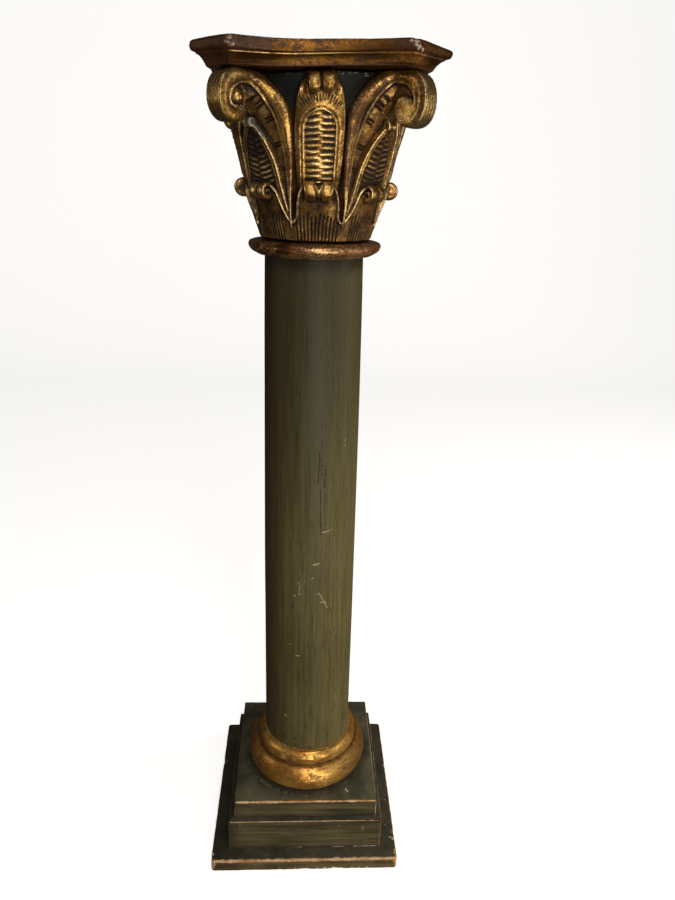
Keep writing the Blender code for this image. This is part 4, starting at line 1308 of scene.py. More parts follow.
class Graph:
    """A material's nodes, written as sums."""

    def __init__(self, name):
        self.mat = bpy.data.materials.new(name)
        self.mat.use_nodes = True
        self.tree = self.mat.node_tree
        self.bsdf = self.tree.nodes["Principled BSDF"]
        self.xyz = self.tree.nodes.new("ShaderNodeTexCoord").outputs["Object"]
        self.axes = None

    def new(self, kind, **settings):
        node = self.tree.nodes.new(kind)
        for key, value in settings.items():
            setattr(node, key, value)
        return node

    def put(self, socket, value):
        if isinstance(value, bpy.types.NodeSocket):
            self.tree.links.new(value, socket)
        else:
            socket.default_value = value

    def math(self, op, *values, clamp=False):
        node = self.new("ShaderNodeMath", operation=op, use_clamp=clamp)
        for socket, value in zip(node.inputs, values):
            self.put(socket, value)
        return node.outputs[0]

    def add(self, *values):
        out = values[0]
        for v in values[1:]:
            out = self.math("ADD", out, v)
        return out

    def mul(self, *values):
        out = values[0]
        for v in values[1:]:
            out = self.math("MULTIPLY", out, v)
        return out

    def most(self, *values):
        out = values[0]
        for v in values[1:]:
            out = self.math("MAXIMUM", out, v)
        return out

    def less(self, a):
        return self.math("SUBTRACT", 1.0, a)

    def remap(self, value, lo, hi, to_lo=0.0, to_hi=1.0, smooth=True):
        node = self.new("ShaderNodeMapRange", interpolation_type="SMOOTHSTEP" if smooth else "LINEAR", clamp=True)
        for key, v in (("Value", value), ("From Min", lo), ("From Max", hi), ("To Min", to_lo), ("To Max", to_hi)):
            self.put(node.inputs[key], v)
        return node.outputs["Result"]

    def mix(self, a, b, share, kind="MIX"):
        node = self.new("ShaderNodeMix", data_type="RGBA", blend_type=kind, clamp_factor=True)
        self.put(node.inputs[0], share)
        self.put(node.inputs[6], a)
        self.put(node.inputs[7], b)
        return node.outputs[2]

    def attribute(self, name):
        return self.new("ShaderNodeAttribute", attribute_type="GEOMETRY", attribute_name=name).outputs["Fac"]

    def stretched(self, x, y, z, shift=(0.0, 0.0, 0.0)):
        node = self.new("ShaderNodeMapping")
        node.inputs["Scale"].default_value = (x, y, z)
        node.inputs["Location"].default_value = shift
        self.put(node.inputs["Vector"], self.xyz)
        return node.outputs["Vector"]

    def noise(self, scale, detail=3.0, rough=0.55, at=None, warp=0.0, shift=None):
        """Fractal noise, 0 to 1, middle 0.5; `scale` is features per metre."""
        node = self.new("ShaderNodeTexNoise", noise_dimensions="3D")
        if at is None:
            at = self.stretched(1.0, 1.0, 1.0, shift) if shift else self.xyz
        self.put(node.inputs["Vector"], at)
        node.inputs["Scale"].default_value = scale
        node.inputs["Detail"].default_value = detail
        node.inputs["Roughness"].default_value = rough
        node.inputs["Distortion"].default_value = warp
        return node.outputs["Fac"]

    def cells(self, scale, at=None, feature="F1", out="Distance"):
        node = self.new("ShaderNodeTexVoronoi", feature=feature)
        self.put(node.inputs["Vector"], at or self.xyz)
        node.inputs["Scale"].default_value = scale
        return node.outputs[out]

    def place(self):
        if self.axes is None:
            node = self.new("ShaderNodeSeparateXYZ")
            self.put(node.inputs[0], self.xyz)
            self.axes = (self.math("SUBTRACT", node.outputs[0], SHIFT_X), self.math("SUBTRACT", node.outputs[1], SHIFT_Y),
                         self.math("SUBTRACT", node.outputs[2], DATUM))
        return self.axes

    def grit(self, size):
        """Noise about zero for ragged outlines, made once for each size."""
        made = self.__dict__.setdefault("grits", {})
        if size not in made:
            made[size] = self.math("SUBTRACT", self.noise(size, 3.0, 0.6), 0.5)
        return made[size]

    def spot(self, place, radius, ragged=0.5, size=300.0):
        """1 within a ragged patch round a place, 0 outside."""
        node = self.new("ShaderNodeVectorMath", operation="DISTANCE")
        self.put(node.inputs[0], self.xyz)
        node.inputs[1].default_value = (place[0] + SHIFT_X, place[1] + SHIFT_Y, place[2] + DATUM)
        d = self.add(node.outputs["Value"], self.mul(self.grit(size), 2.0 * ragged * radius))
        return self.remap(d, radius, radius * 0.75)

    def scratch(self, start, end, width, ragged=0.6, size=420.0):
        """1 along a thin line between two places, 0 away from it."""
        a = Vector(start) + Vector((SHIFT_X, SHIFT_Y, DATUM))
        b = Vector(end) + Vector((SHIFT_X, SHIFT_Y, DATUM))
        along = b - a
        away = self.new("ShaderNodeVectorMath", operation="SUBTRACT")
        self.put(away.inputs[0], self.xyz)
        away.inputs[1].default_value = a
        dot = self.new("ShaderNodeVectorMath", operation="DOT_PRODUCT")
        self.put(dot.inputs[0], away.outputs[0])
        dot.inputs[1].default_value = along / along.length_squared
        t = self.math("ADD", dot.outputs["Value"], 0.0, clamp=True)
        near = self.new("ShaderNodeVectorMath", operation="SCALE")
        near.inputs[0].default_value = along
        self.put(near.inputs["Scale"], t)
        gap = self.new("ShaderNodeVectorMath", operation="DISTANCE")
        self.put(gap.inputs[0], away.outputs[0])
        self.put(gap.inputs[1], near.outputs[0])
        d = self.add(gap.outputs["Value"], self.mul(self.grit(size), 2.0 * ragged * width))
        return self.remap(d, width, width * 0.45)

    def finish(self, colour, rough, metal=0.0, height=None, distance=0.001, strength=1.0):
        self.put(self.bsdf.inputs["Base Color"], colour)
        self.put(self.bsdf.inputs["Roughness"], rough)
        self.put(self.bsdf.inputs["Metallic"], metal)
        if height is not None:
            node = self.new("ShaderNodeBump")
            node.inputs["Distance"].default_value = distance
            node.inputs["Strength"].default_value = strength
            self.put(node.inputs["Height"], height)
            self.put(self.bsdf.inputs["Normal"], node.outputs["Normal"])
        return self.mat


def floor_material():
    g = Graph("pale_floor")
    n = g.noise(3.0, 3.0)
    colour = g.mix((0.80, 0.80, 0.80, 1.0), (0.83, 0.83, 0.83, 1.0), n)
    g.bsdf.inputs["Emission Color"].default_value = (1.0, 1.0, 1.0, 1.0)
    g.bsdf.inputs["Emission Strength"].default_value = 0.80
    return g.finish(colour, 0.75)


def carved_gold():
    g = Graph("carved_gilding")
    near, far, cut = g.attribute("near"), g.attribute("far"), g.attribute("cut")
    bell, band, old = g.attribute("bell"), g.attribute("band"), g.attribute("old")
    x, y, z = g.place()
    broad, middle, fine = g.noise(24.0, 3.0), g.noise(95.0, 4.0, 0.6), g.noise(430.0, 3.0, 0.6)
    # leaf laid in squares, brighter and duller
    gold = g.mix(srgb(186, 144, 74), srgb(116, 82, 34), g.remap(g.add(g.mul(broad, 0.45), g.mul(middle, 0.55)), 0.38, 0.62))
    # pale gold on the convex edges: rubbed leaf and a painted highlight
    gold = g.mix(gold, srgb(240, 210, 154), g.remap(near, 0.46, 0.32, 0.0, 0.55))
    # a grain of darker and brighter points
    grain = g.noise(300.0, 5.0, 0.75, shift=(0.3, 0.2, 0.6))
    gold = g.mix(gold, srgb(72, 44, 20), g.mul(g.remap(grain, 0.53, 0.64), 0.60))
    gold = g.mix(gold, srgb(248, 222, 168), g.mul(g.remap(grain, 0.44, 0.35), 0.45))
    # lines round the rolled edge of the scrolls: pale on the ridges, rubbed leaf with a painted highlight, and dull
    # olive between them, toning with a painted shade that is stronger on the left
    aside = g.math("ABSOLUTE", g.attribute("aside"))
    rolled = g.remap(g.attribute("rolled"), 0.35, 0.85)
    line = g.most(g.remap(aside, 1.1, 0.3), g.remap(g.math("ABSOLUTE", g.add(aside, -4.6)), 1.0, 0.3), g.remap(g.math("ABSOLUTE", g.add(aside, -8.6)), 0.9, 0.3))
    line = g.mul(line, rolled)
    gold = g.mix(gold, srgb(92, 80, 40), g.mul(rolled, g.less(line), g.remap(x, 0.050, 0.090, 0.60, 0.36)))
    gold = g.mix(gold, srgb(238, 212, 150), g.mul(line, 0.60))
    # red-brown ground showing where the leaf is rubbed, most on the rolled bands
    rub = g.remap(g.add(g.mul(middle, 0.6), g.mul(broad, 0.4), g.mul(g.math("SUBTRACT", fine, 0.5), 0.25), g.mul(band, 0.06), -0.03), 0.50, 0.62)
    colour = g.mix(gold, srgb(112, 70, 58), g.mul(rub, g.add(0.28, g.mul(band, 0.42))))
    # brown toning lying in the hollows and the cuts, and thicker on some parts, less on the band at the front left;
    # with it painted shade, darker in the hollows, under the board above, at the foot by the ring, towards the left and
    # on the leaves to each side of the front; and painted light, lighter on the right scroll
    deep = g.add(g.mul(g.math("SUBTRACT", far, 0.5), 1.05), g.mul(g.math("SUBTRACT", near, 0.5), 1.9), g.mul(cut, 0.46),
                 g.mul(g.math("SUBTRACT", middle, 0.5), 0.40), g.mul(g.math("SUBTRACT", fine, 0.5), 0.40),
                 g.mul(g.math("SUBTRACT", broad, 0.5), 0.25), g.mul(old, 0.40), g.mul(g.math("SUBTRACT", grain, 0.5), 0.45),
                 g.remap(z, 0.9505, 0.9470, 0.0, 0.30), g.remap(x, -0.020, -0.075, 0.0, 0.06),
                 g.mul(g.remap(g.math("ABSOLUTE", g.add(x, -0.003)), 0.018, 0.040), g.remap(z, 1.104, 1.088), 0.07),
                 g.mul(g.remap(x, -0.030, -0.034), g.remap(x, -0.048, -0.043), g.remap(z, 1.085, 1.070), g.remap(z, 1.000, 1.020), -0.14),
                 g.mul(g.remap(x, 0.080, 0.095), g.remap(z, 1.070, 1.080), -0.10))
    toning_and_shade = g.remap(deep, -0.06, 0.32)
    black_toning_and_shade = g.remap(deep, 0.26, 0.52)
    # brown where the toning and painted shade lie, near black where they are deepest
    colour = g.mix(colour, srgb(76, 45, 17), g.mul(toning_and_shade, 0.84))
    colour = g.mix(colour, srgb(22, 12, 5), g.mul(black_toning_and_shade, 0.94))
    # painted shade, broken up by the grain, over the left border of the leaf in front, which faces away from the light,
    # and over the band to its right
    side_shade_breakup = g.remap(grain, 0.40, 0.58, 0.55, 1.0)
    painted_side_shade = g.mul(g.remap(x, -0.0190, -0.0215), g.remap(x, -0.033, -0.029), g.remap(z, 1.106, 1.094), 0.62)
    painted_side_shade = g.most(painted_side_shade, g.mul(g.remap(x, 0.0290, 0.0330), g.remap(x, 0.048, 0.043), g.remap(z, 1.088, 1.070), 0.50))
    painted_side_shade = g.mul(painted_side_shade, side_shade_breakup, g.remap(z, 0.995, 1.010), g.remap(y, -0.045, -0.055))
    colour = g.mix(colour, srgb(80, 54, 22), painted_side_shade)
    # pale chalk ground on the sharpest knocks
    chip = g.mul(g.remap(near, 0.37, 0.28), g.remap(fine, 0.58, 0.66))
    # the tip of the leaf on the front left corner is worn to grey, with white specks along its edge
    grey = g.mul(g.scratch((-0.0795, -0.0805, 1.0830), (-0.0600, -0.0850, 1.0590), 0.0046, 0.7, 240.0), g.remap(grain, 0.62, 0.46, 0.35, 0.85))
    grey = g.most(grey, g.mul(g.spot((-0.0800, -0.0845, 1.0760), 0.0090, 0.7, 240.0), g.remap(grain, 0.60, 0.48, 0.25, 0.80)))
    worn = g.mul(g.scratch((-0.0780, -0.0870, 1.0710), (-0.0570, -0.0850, 1.0560), 0.0030, 1.0, 300.0), g.remap(near, 0.54, 0.46), g.remap(grain, 0.52, 0.44))
    chip = g.most(chip, worn, g.mul(g.spot((-0.0838, -0.0985, 1.0860), 0.0034, 0.9, 420.0), 0.95), g.mul(g.spot((-0.0856, -0.1000, 1.1245), 0.0034, 0.9, 420.0), 0.85))
    colour = g.mix(colour, srgb(104, 106, 94), grey)
    colour = g.mix(colour, srgb(206, 194, 170), g.mul(chip, 0.85))
    chip = g.most(chip, grey)
    # dark painted bell, chipped to the white ground along its top
    paint = g.mix(srgb(32, 36, 32), srgb(15, 16, 15), middle)
    flake = g.noise(210.0, 5.0, 0.75, at=g.stretched(1.0, 1.0, 2.5))
    edge = g.mul(g.remap(z, 1.1215, 1.1245), g.remap(flake, 0.55, 0.61))
    paint = g.mix(paint, srgb(186, 180, 170), g.mul(edge, 0.85))
    colour = g.mix(colour, paint, bell)
    metal = g.mul(g.less(g.most(g.mul(toning_and_shade, 0.70), g.mul(rub, 0.35), chip)), g.less(black_toning_and_shade), g.less(bell), g.less(g.mul(painted_side_shade, 0.4)), 0.92)
    rough = g.add(g.remap(fine, 0.3, 0.7, 0.22, 0.38), g.mul(toning_and_shade, 0.16), g.mul(bell, 0.28))
    height = g.add(g.mul(fine, 0.6), g.mul(grain, 0.35), g.mul(g.noise(1400.0, 2.0), 0.25), g.mul(middle, 0.4), g.mul(line, 0.9))
    g.bsdf.inputs["Specular IOR Level"].default_value = 0.25
    return g.finish(colour, rough, metal, height, 0.0007, 0.60)


def turned_gold(name, bright, dull, ground, lean=0.0, metal_share=0.9, scale=1.0, dirty=0.75):
    """Gilding on the turned and moulded pieces: rubbed in bands that follow the turning."""
    g = Graph(name)
    broad = g.noise(18.0 * scale, 3.0)
    along = g.noise(60.0 * scale, 4.0, 0.6, at=g.stretched(1.0, 1.0, 3.2))
    fine = g.noise(420.0, 4.0, 0.65)
    gold = g.mix(bright, dull, g.remap(g.add(g.mul(broad, 0.45), g.mul(along, 0.40), g.mul(fine, 0.15)), 0.38, 0.62))
    rub = g.remap(g.add(along, g.mul(fine, 0.35), lean), 0.70, 0.82)
    colour = g.mix(gold, ground, g.mul(rub, 0.85))
    dirt = g.remap(g.add(g.noise(75.0, 5.0, 0.65), g.mul(fine, 0.3)), 0.67, 0.80)
    colour = g.mix(colour, srgb(46, 26, 12), g.mul(dirt, dirty))
    metal = g.mul(g.less(g.mul(g.most(rub, dirt), 0.8)), metal_share)
    rough = g.add(g.remap(fine, 0.3, 0.7, 0.26, 0.44), g.mul(g.most(rub, dirt), 0.16))
    height = g.add(g.mul(fine, 0.6), g.mul(along, 0.4))
    g.bsdf.inputs["Specular IOR Level"].default_value = 0.28
    return g, colour, rough, metal, height


def base_gold():
    g, colour, rough, metal, height = turned_gold("antique_gilding", srgb(228, 182, 98), srgb(170, 114, 46), srgb(140, 82, 36), lean=-0.03, scale=1.4, dirty=0.40)
    x, y, z = g.place()
    # painted shade: darker at the foot of the torus and in the crease above it
    foot = g.remap(z, 0.1120, 0.1032)
    crease_shade = g.remap(g.math("ABSOLUTE", g.math("SUBTRACT", z, 0.1462)), 0.0034, 0.0004)
    # partly brown toning and partly painted shade: darker low down, towards the left, and on the right, most below the
    # upper roll
    low = g.mul(g.remap(g.add(z, g.mul(g.math("SUBTRACT", g.noise(40.0, 4.0), 0.5), 0.020)), 0.126, 0.106), 0.55)
    left = g.mul(g.remap(g.add(x, g.mul(g.math("SUBTRACT", g.noise(35.0, 3.0, shift=(0.3, 0.1, 0.2)), 0.5), 0.05)), -0.03, -0.09), 0.74)
    right = g.mul(g.remap(g.add(x, g.mul(g.math("SUBTRACT", g.noise(35.0, 3.0, shift=(0.1, 0.4, 0.2)), 0.5), 0.05)), 0.030, 0.075), g.remap(z, 0.150, 0.142, 0.30, 0.76))
    dark = g.most(g.mul(foot, 0.75), g.mul(crease_shade, 0.85), low, left, right)
    colour = g.mix(colour, srgb(62, 33, 9), dark)
    rim = g.mul(g.remap(z, 0.1652, 0.1664), g.remap(g.noise(330.0, 4.0, 0.7), 0.46, 0.54), 0.6)
    colour = g.mix(colour, srgb(214, 190, 140), rim)
    return g.finish(colour, g.add(rough, g.mul(dark, 0.2)), g.mul(metal, g.less(g.mul(dark, 0.85))), height, 0.0005, 0.6)


def ring_gold():
    g = Graph("red_gold_gilding")
    x, y, z = g.place()
    along = g.noise(70.0, 5.0, 0.65, at=g.stretched(1.0, 1.0, 3.6))
    fine = g.noise(420.0, 4.0, 0.65)
    broad = g.noise(26.0, 3.0, shift=(0.4, 0.1, 0.3))
    ground = g.mix(srgb(138, 84, 50), srgb(84, 46, 26), g.remap(g.add(g.mul(broad, 0.6), g.mul(fine, 0.4)), 0.40, 0.60))
    # painted shade, darker to the left; and more pale leaf in front, rubbed leaf with a painted highlight
    ground = g.mix(ground, srgb(56, 24, 12), g.remap(g.add(x, g.mul(g.math("SUBTRACT", along, 0.5), 0.05)), -0.020, -0.050, 0.0, 0.8))
    worn = g.remap(g.math("ABSOLUTE", g.add(x, -0.018)), 0.060, 0.020)
    leaf = g.remap(g.add(along, g.mul(fine, 0.40), g.mul(worn, 0.07)), 0.70, 0.77)
    colour = g.mix(ground, srgb(196, 150, 94), g.mul(leaf, 0.80))
    # painted highlight: pale glints on the leaf and a pale line along the foot, kept to the front
    pale = g.mul(leaf, g.remap(fine, 0.53, 0.60), worn)
    foot = g.mul(g.remap(g.math("ABSOLUTE", g.math("SUBTRACT", z, 0.9276)), 0.0011, 0.0005), g.remap(along, 0.47, 0.55), worn)
    colour = g.mix(colour, srgb(236, 214, 176), g.mul(g.most(pale, foot), 0.85))
    # painted shade: the seat under the carving is plain dark
    colour = g.mix(colour, srgb(40, 30, 18), g.remap(z, 0.9438, 0.9447))
    metal = g.add(g.mul(leaf, 0.35), 0.45)
    rough = g.remap(fine, 0.3, 0.7, 0.24, 0.40)
    return g.finish(colour, rough, metal, g.add(g.mul(fine, 0.6), g.mul(along, 0.4)), 0.0006, 0.7)


def abacus_gold():
    g, colour, rough, metal, height = turned_gold("abacus_gilding", srgb(118, 78, 27), srgb(68, 44, 15), srgb(68, 38, 21), lean=-0.02, metal_share=0.8, dirty=0.60)
    x, y, z = g.place()
    level = g.math("DIVIDE", g.attribute("level"), 100.0)
    fine = g.noise(420.0, 4.0, 0.65, shift=(0.2, 0.5, 0.1))
    cloud = g.noise(45.0, 4.0, 0.6, shift=(0.7, 0.2, 0.4))
    dark = g.mix(srgb(84, 48, 30), srgb(50, 27, 15), g.remap(g.add(g.mul(cloud, 0.6), g.mul(fine, 0.4)), 0.40, 0.60))
    # the lip is bare red-brown ground on the left, with leaf from a joint to the right
    lip = g.remap(level, 0.0118, 0.0128)
    front = g.remap(y, -0.06, -0.09)
    joint = g.remap(g.add(x, g.mul(g.math("SUBTRACT", fine, 0.5), 0.004)), -0.0485, -0.0515)
    elsewhere = g.remap(g.noise(14.0, 3.0), 0.44, 0.56)
    kept = g.add(g.mul(g.less(joint), front), g.mul(elsewhere, g.less(front), 0.6))
    bare = g.mul(lip, g.less(kept), g.remap(fine, 0.36, 0.50, 0.45, 0.85))
    # a dull patch towards the right arris
    bare = g.most(bare, g.mul(lip, g.remap(g.math("ABSOLUTE", g.add(x, g.mul(g.math("SUBTRACT", cloud, 0.5), 0.05), -0.083)), 0.024, 0.008), 0.75))
    # the shaded cut corner on the left is dark all the way down
    bare = g.most(bare, g.mul(g.remap(g.add(x, g.mul(g.math("SUBTRACT", cloud, 0.5), 0.03)), -0.086, -0.098), 0.85))
    # painted shade: dark along the foot of the cove over the carving, and in the groove under the lip
    low = g.mul(g.remap(level, 0.0024, 0.0004), 0.8)
    seam = g.mul(g.remap(g.math("ABSOLUTE", g.math("SUBTRACT", level, 0.0122)), 0.0010, 0.0004), 0.85)
    bare = g.most(bare, low, seam)
    colour = g.mix(colour, dark, bare)
    # the leaf on the lip is duller, and the cove is paler towards its right end
    colour = g.mix(colour, srgb(78, 48, 20), g.mul(lip, g.less(bare), 0.34))
    colour = g.mix(colour, srgb(176, 120, 60), g.mul(g.less(lip), g.remap(level, 0.0026, 0.0040), g.remap(x, 0.050, 0.085), g.remap(x, 0.118, 0.100), g.remap(fine, 0.34, 0.56, 0.25, 0.70)))
    # painted highlight: a thin bright line along the fillet, brightest on the left
    line = g.mul(g.remap(g.math("ABSOLUTE", g.math("SUBTRACT", level, 0.0112)), 0.0007, 0.0003), g.remap(g.noise(60.0, 4.0, 0.7), 0.36, 0.50))
    line = g.mul(line, g.remap(x, 0.05, -0.03, 0.12, 0.75), g.remap(x, -0.093, -0.088))
    colour = g.mix(colour, srgb(226, 184, 116), g.mul(line, 0.85))
    # worn top arris, chalky along the left of the front and knocked at the corners, where the pale spots also stand for
    # painted glints
    crown = g.attribute("crown")
    top = g.most(g.remap(level, 0.0252, 0.0257), crown)
    arris = g.remap(g.add(level, g.mul(g.math("SUBTRACT", fine, 0.5), 0.004)), 0.0238, 0.0250)
    pale = g.mul(arris, g.remap(x, -0.097, -0.094), g.remap(x, -0.046, -0.056), front, g.remap(fine, 0.46, 0.52))
    pale = g.most(pale, g.mul(g.spot((0.0955, -0.1395, 1.1500), 0.0042, 1.6, 420.0), g.remap(fine, 0.42, 0.50)),
                  g.mul(g.spot((0.0985, -0.1380, 1.1465), 0.0030, 1.6, 420.0), 0.8), g.mul(g.spot((0.0900, -0.1400, 1.1520), 0.0030, 1.6, 420.0), 0.7),
                  g.mul(g.spot((0.1030, -0.1335, 1.1440), 0.0022, 1.5, 420.0), 0.8),
                  g.mul(g.spot((-0.0925, -0.1395, 1.1490), 0.0036, 1.8, 420.0), 0.7), g.mul(g.spot((-0.0955, -0.1395, 1.1430), 0.0028, 1.8, 420.0), 0.7),
                  g.mul(g.spot((-0.0890, -0.1375, 1.1420), 0.0022, 1.8, 420.0), 0.6), g.mul(g.spot((-0.0900, -0.1340, 1.1325), 0.0018, 1.5, 420.0), 0.6),
                  g.mul(g.spot((-0.0495, -0.1385, 1.1500), 0.0026, 1.5, 420.0), 0.8))
    pale = g.most(pale, g.mul(g.remap(level, 0.0242, 0.0252), g.remap(g.add(fine, g.mul(cloud, 0.6)), 0.88, 0.96), 0.6))
    pale = g.mul(pale, g.remap(g.noise(520.0, 4.0, 0.75, shift=(0.4, 0.4, 0.1)), 0.44, 0.54, 0.10, 0.90), g.remap(crown, 0.0, 1.0, 1.0, 0.12))
    paint = g.mix(srgb(40, 34, 26), srgb(64, 52, 34), g.noise(40.0, 5.0, 0.65, at=g.stretched(1.0, 4.0, 1.0)))
    colour = g.mix(colour, paint, top)
    colour = g.mix(colour, srgb(214, 202, 182), g.mul(pale, 0.85))
    metal = g.mul(metal, g.less(top), g.less(g.mul(bare, 0.75)), g.less(pale))
    return g.finish(colour, g.add(rough, g.mul(g.most(top, pale), 0.15)), metal, height, 0.0006, 0.65)


def shaft_paint():
    g = Graph("green_paint")
    x, y, z = g.place()
    streak = g.noise(150.0, 5.0, 0.62, at=g.stretched(1.0, 1.0, 0.035))
    thin = g.noise(620.0, 3.0, 0.6, at=g.stretched(1.0, 1.0, 0.02))
    tick = g.noise(820.0, 2.0, 0.6, at=g.stretched(1.0, 1.0, 0.10))
    cloud = g.noise(9.0, 4.0, 0.6, at=g.stretched(1.0, 1.0, 0.45))
    fine = g.noise(900.0, 2.0)
    body = g.mix(srgb(84, 77, 46), srgb(108, 99, 62), g.remap(g.add(g.mul(streak, 0.50), g.mul(cloud, 0.50)), 0.34, 0.66))
    body = g.mix(body, srgb(48, 42, 25), g.mul(g.remap(thin, 0.52, 0.70), 0.55))
    # pores: short dark ticks that run with the grain
    body = g.mix(body, srgb(30, 25, 15), g.mul(g.remap(tick, 0.60, 0.68), g.remap(cloud, 0.35, 0.6, 0.35, 0.75)))
    # painted shade: the upper half darkens towards the ring, less on the right side
    body = g.mix(body, srgb(30, 25, 12), g.remap(g.add(z, g.mul(g.math("SUBTRACT", cloud, 0.5), 0.20)), 0.46, 0.90, 0.0, g.remap(x, 0.030, 0.058, 0.68, 0.46)))
    # painted shade: its left side, away from the light, is darker and browner
    body = g.mix(body, srgb(58, 38, 14), g.remap(g.add(x, g.mul(g.math("SUBTRACT", streak, 0.5), 0.02)), -0.020, -0.056, 0.0, 0.50))
    # painted shadow right under the ring
    body = g.mix(body, srgb(20, 16, 10), g.remap(g.add(z, g.mul(g.math("SUBTRACT", streak, 0.5), 0.012)), 0.904, 0.924, 0.0, 0.80))
    colour = body
    # hairline cracks that run with the grain
    grain = g.noise(46.0, 3.0, 0.5, at=g.stretched(1.0, 1.0, 0.05, (0.31, 0.17, 0.05)))
    line = g.math("ABSOLUTE", g.math("SUBTRACT", grain, 0.53))
    where = g.remap(g.noise(11.0, 2.0, 0.5, at=g.stretched(1.0, 1.0, 0.6, (0.7, 0.2, 0.4))), 0.54, 0.60)
    crack = g.mul(g.remap(line, 0.0036, 0.0008), where)
    for a, b in (((0.0125, -0.0650, 0.7180), (0.0128, -0.0652, 0.7050)), ((0.0118, -0.0653, 0.6950), (0.0135, -0.0650, 0.6800)),
                 ((0.0098, -0.0657, 0.6750), (0.0088, -0.0660, 0.6280)), ((0.0130, -0.0652, 0.6650), (0.0140, -0.0651, 0.6380)),
                 ((0.0190, -0.0636, 0.6550), (0.0172, -0.0643, 0.6230)), ((0.0120, -0.0657, 0.6200), (0.0145, -0.0656, 0.5500)),
                 ((-0.0275, -0.0615, 0.5420), (-0.0287, -0.0610, 0.5200)), ((-0.0250, -0.0626, 0.5900), (-0.0254, -0.0625, 0.5840)),
                 ((0.0050, -0.0672, 0.4200), (0.0058, -0.0672, 0.3800)), ((0.0150, -0.0655, 0.4000), (0.0146, -0.0657, 0.3700))):
        crack = g.most(crack, g.scratch(a, b, 0.0007, 1.3, 320.0))
    colour = g.mix(colour, srgb(22, 16, 9), g.mul(crack, 0.85))
    # scratches and nicks through to pale wood
    nick = g.scratch((0.0160, -0.0654, 0.5540), (0.0262, -0.0618, 0.5552), 0.0010, 1.0)
    for a, b, w in (((0.0055, -0.0674, 0.5030), (0.0125, -0.0664, 0.5045), 0.0017), ((-0.0183, -0.0651, 0.4713), (0.0057, -0.0674, 0.4812), 0.0008),
                    ((-0.0155, -0.0659, 0.4538), (0.0135, -0.0665, 0.4534), 0.0009), ((0.0134, -0.0665, 0.4568), (0.0270, -0.0624, 0.4276), 0.0007),
                    ((-0.0139, -0.0662, 0.4700), (-0.0150, -0.0659, 0.4570), 0.0006), ((-0.0228, -0.0637, 0.4500), (-0.0205, -0.0645, 0.4498), 0.0013),
                    ((0.0165, -0.0657, 0.4398), (0.0240, -0.0635, 0.4384), 0.0009), ((-0.0180, -0.0654, 0.3450), (-0.0140, -0.0665, 0.3458), 0.0013),
                    ((-0.0284, -0.0616, 0.3640), (-0.0282, -0.0617, 0.3630), 0.0012), ((0.0448, -0.0487, 0.6880), (0.0450, -0.0486, 0.6862), 0.0008),
                    ((0.0450, -0.0487, 0.6800), (0.0451, -0.0486, 0.6790), 0.0008), ((0.0295, -0.0605, 0.5560), (0.0300, -0.0603, 0.5560), 0.0009),
                    ((-0.0130, -0.0650, 0.8160), (-0.0128, -0.0650, 0.8175), 0.0008), ((-0.0350, -0.0584, 0.2270), (-0.0335, -0.0592, 0.2250), 0.0016)):
        nick = g.most(nick, g.scratch(a, b, w, 1.1))
    colour = g.mix(colour, srgb(176, 166, 132), g.mul(nick, 0.85))
    scuff = g.mul(g.remap(g.noise(75.0, 4.0, 0.6, at=g.stretched(1.0, 1.0, 0.7, (0.2, 0.6, 0.3))), 0.60, 0.68), g.remap(z, 0.30, 0.18))
    colour = g.mix(colour, srgb(44, 36, 22), g.mul(scuff, 0.5))
    rough = g.add(g.remap(streak, 0.3, 0.7, 0.42, 0.58), g.mul(fine, 0.05))
    height = g.add(g.mul(streak, 0.5), g.mul(thin, 0.35), g.mul(crack, -1.0), g.mul(nick, -0.5), g.mul(fine, 0.12))
    g.bsdf.inputs["Specular IOR Level"].default_value = 0.26
    return g.finish(colour, rough, 0.0, height, 0.0005, 0.6)


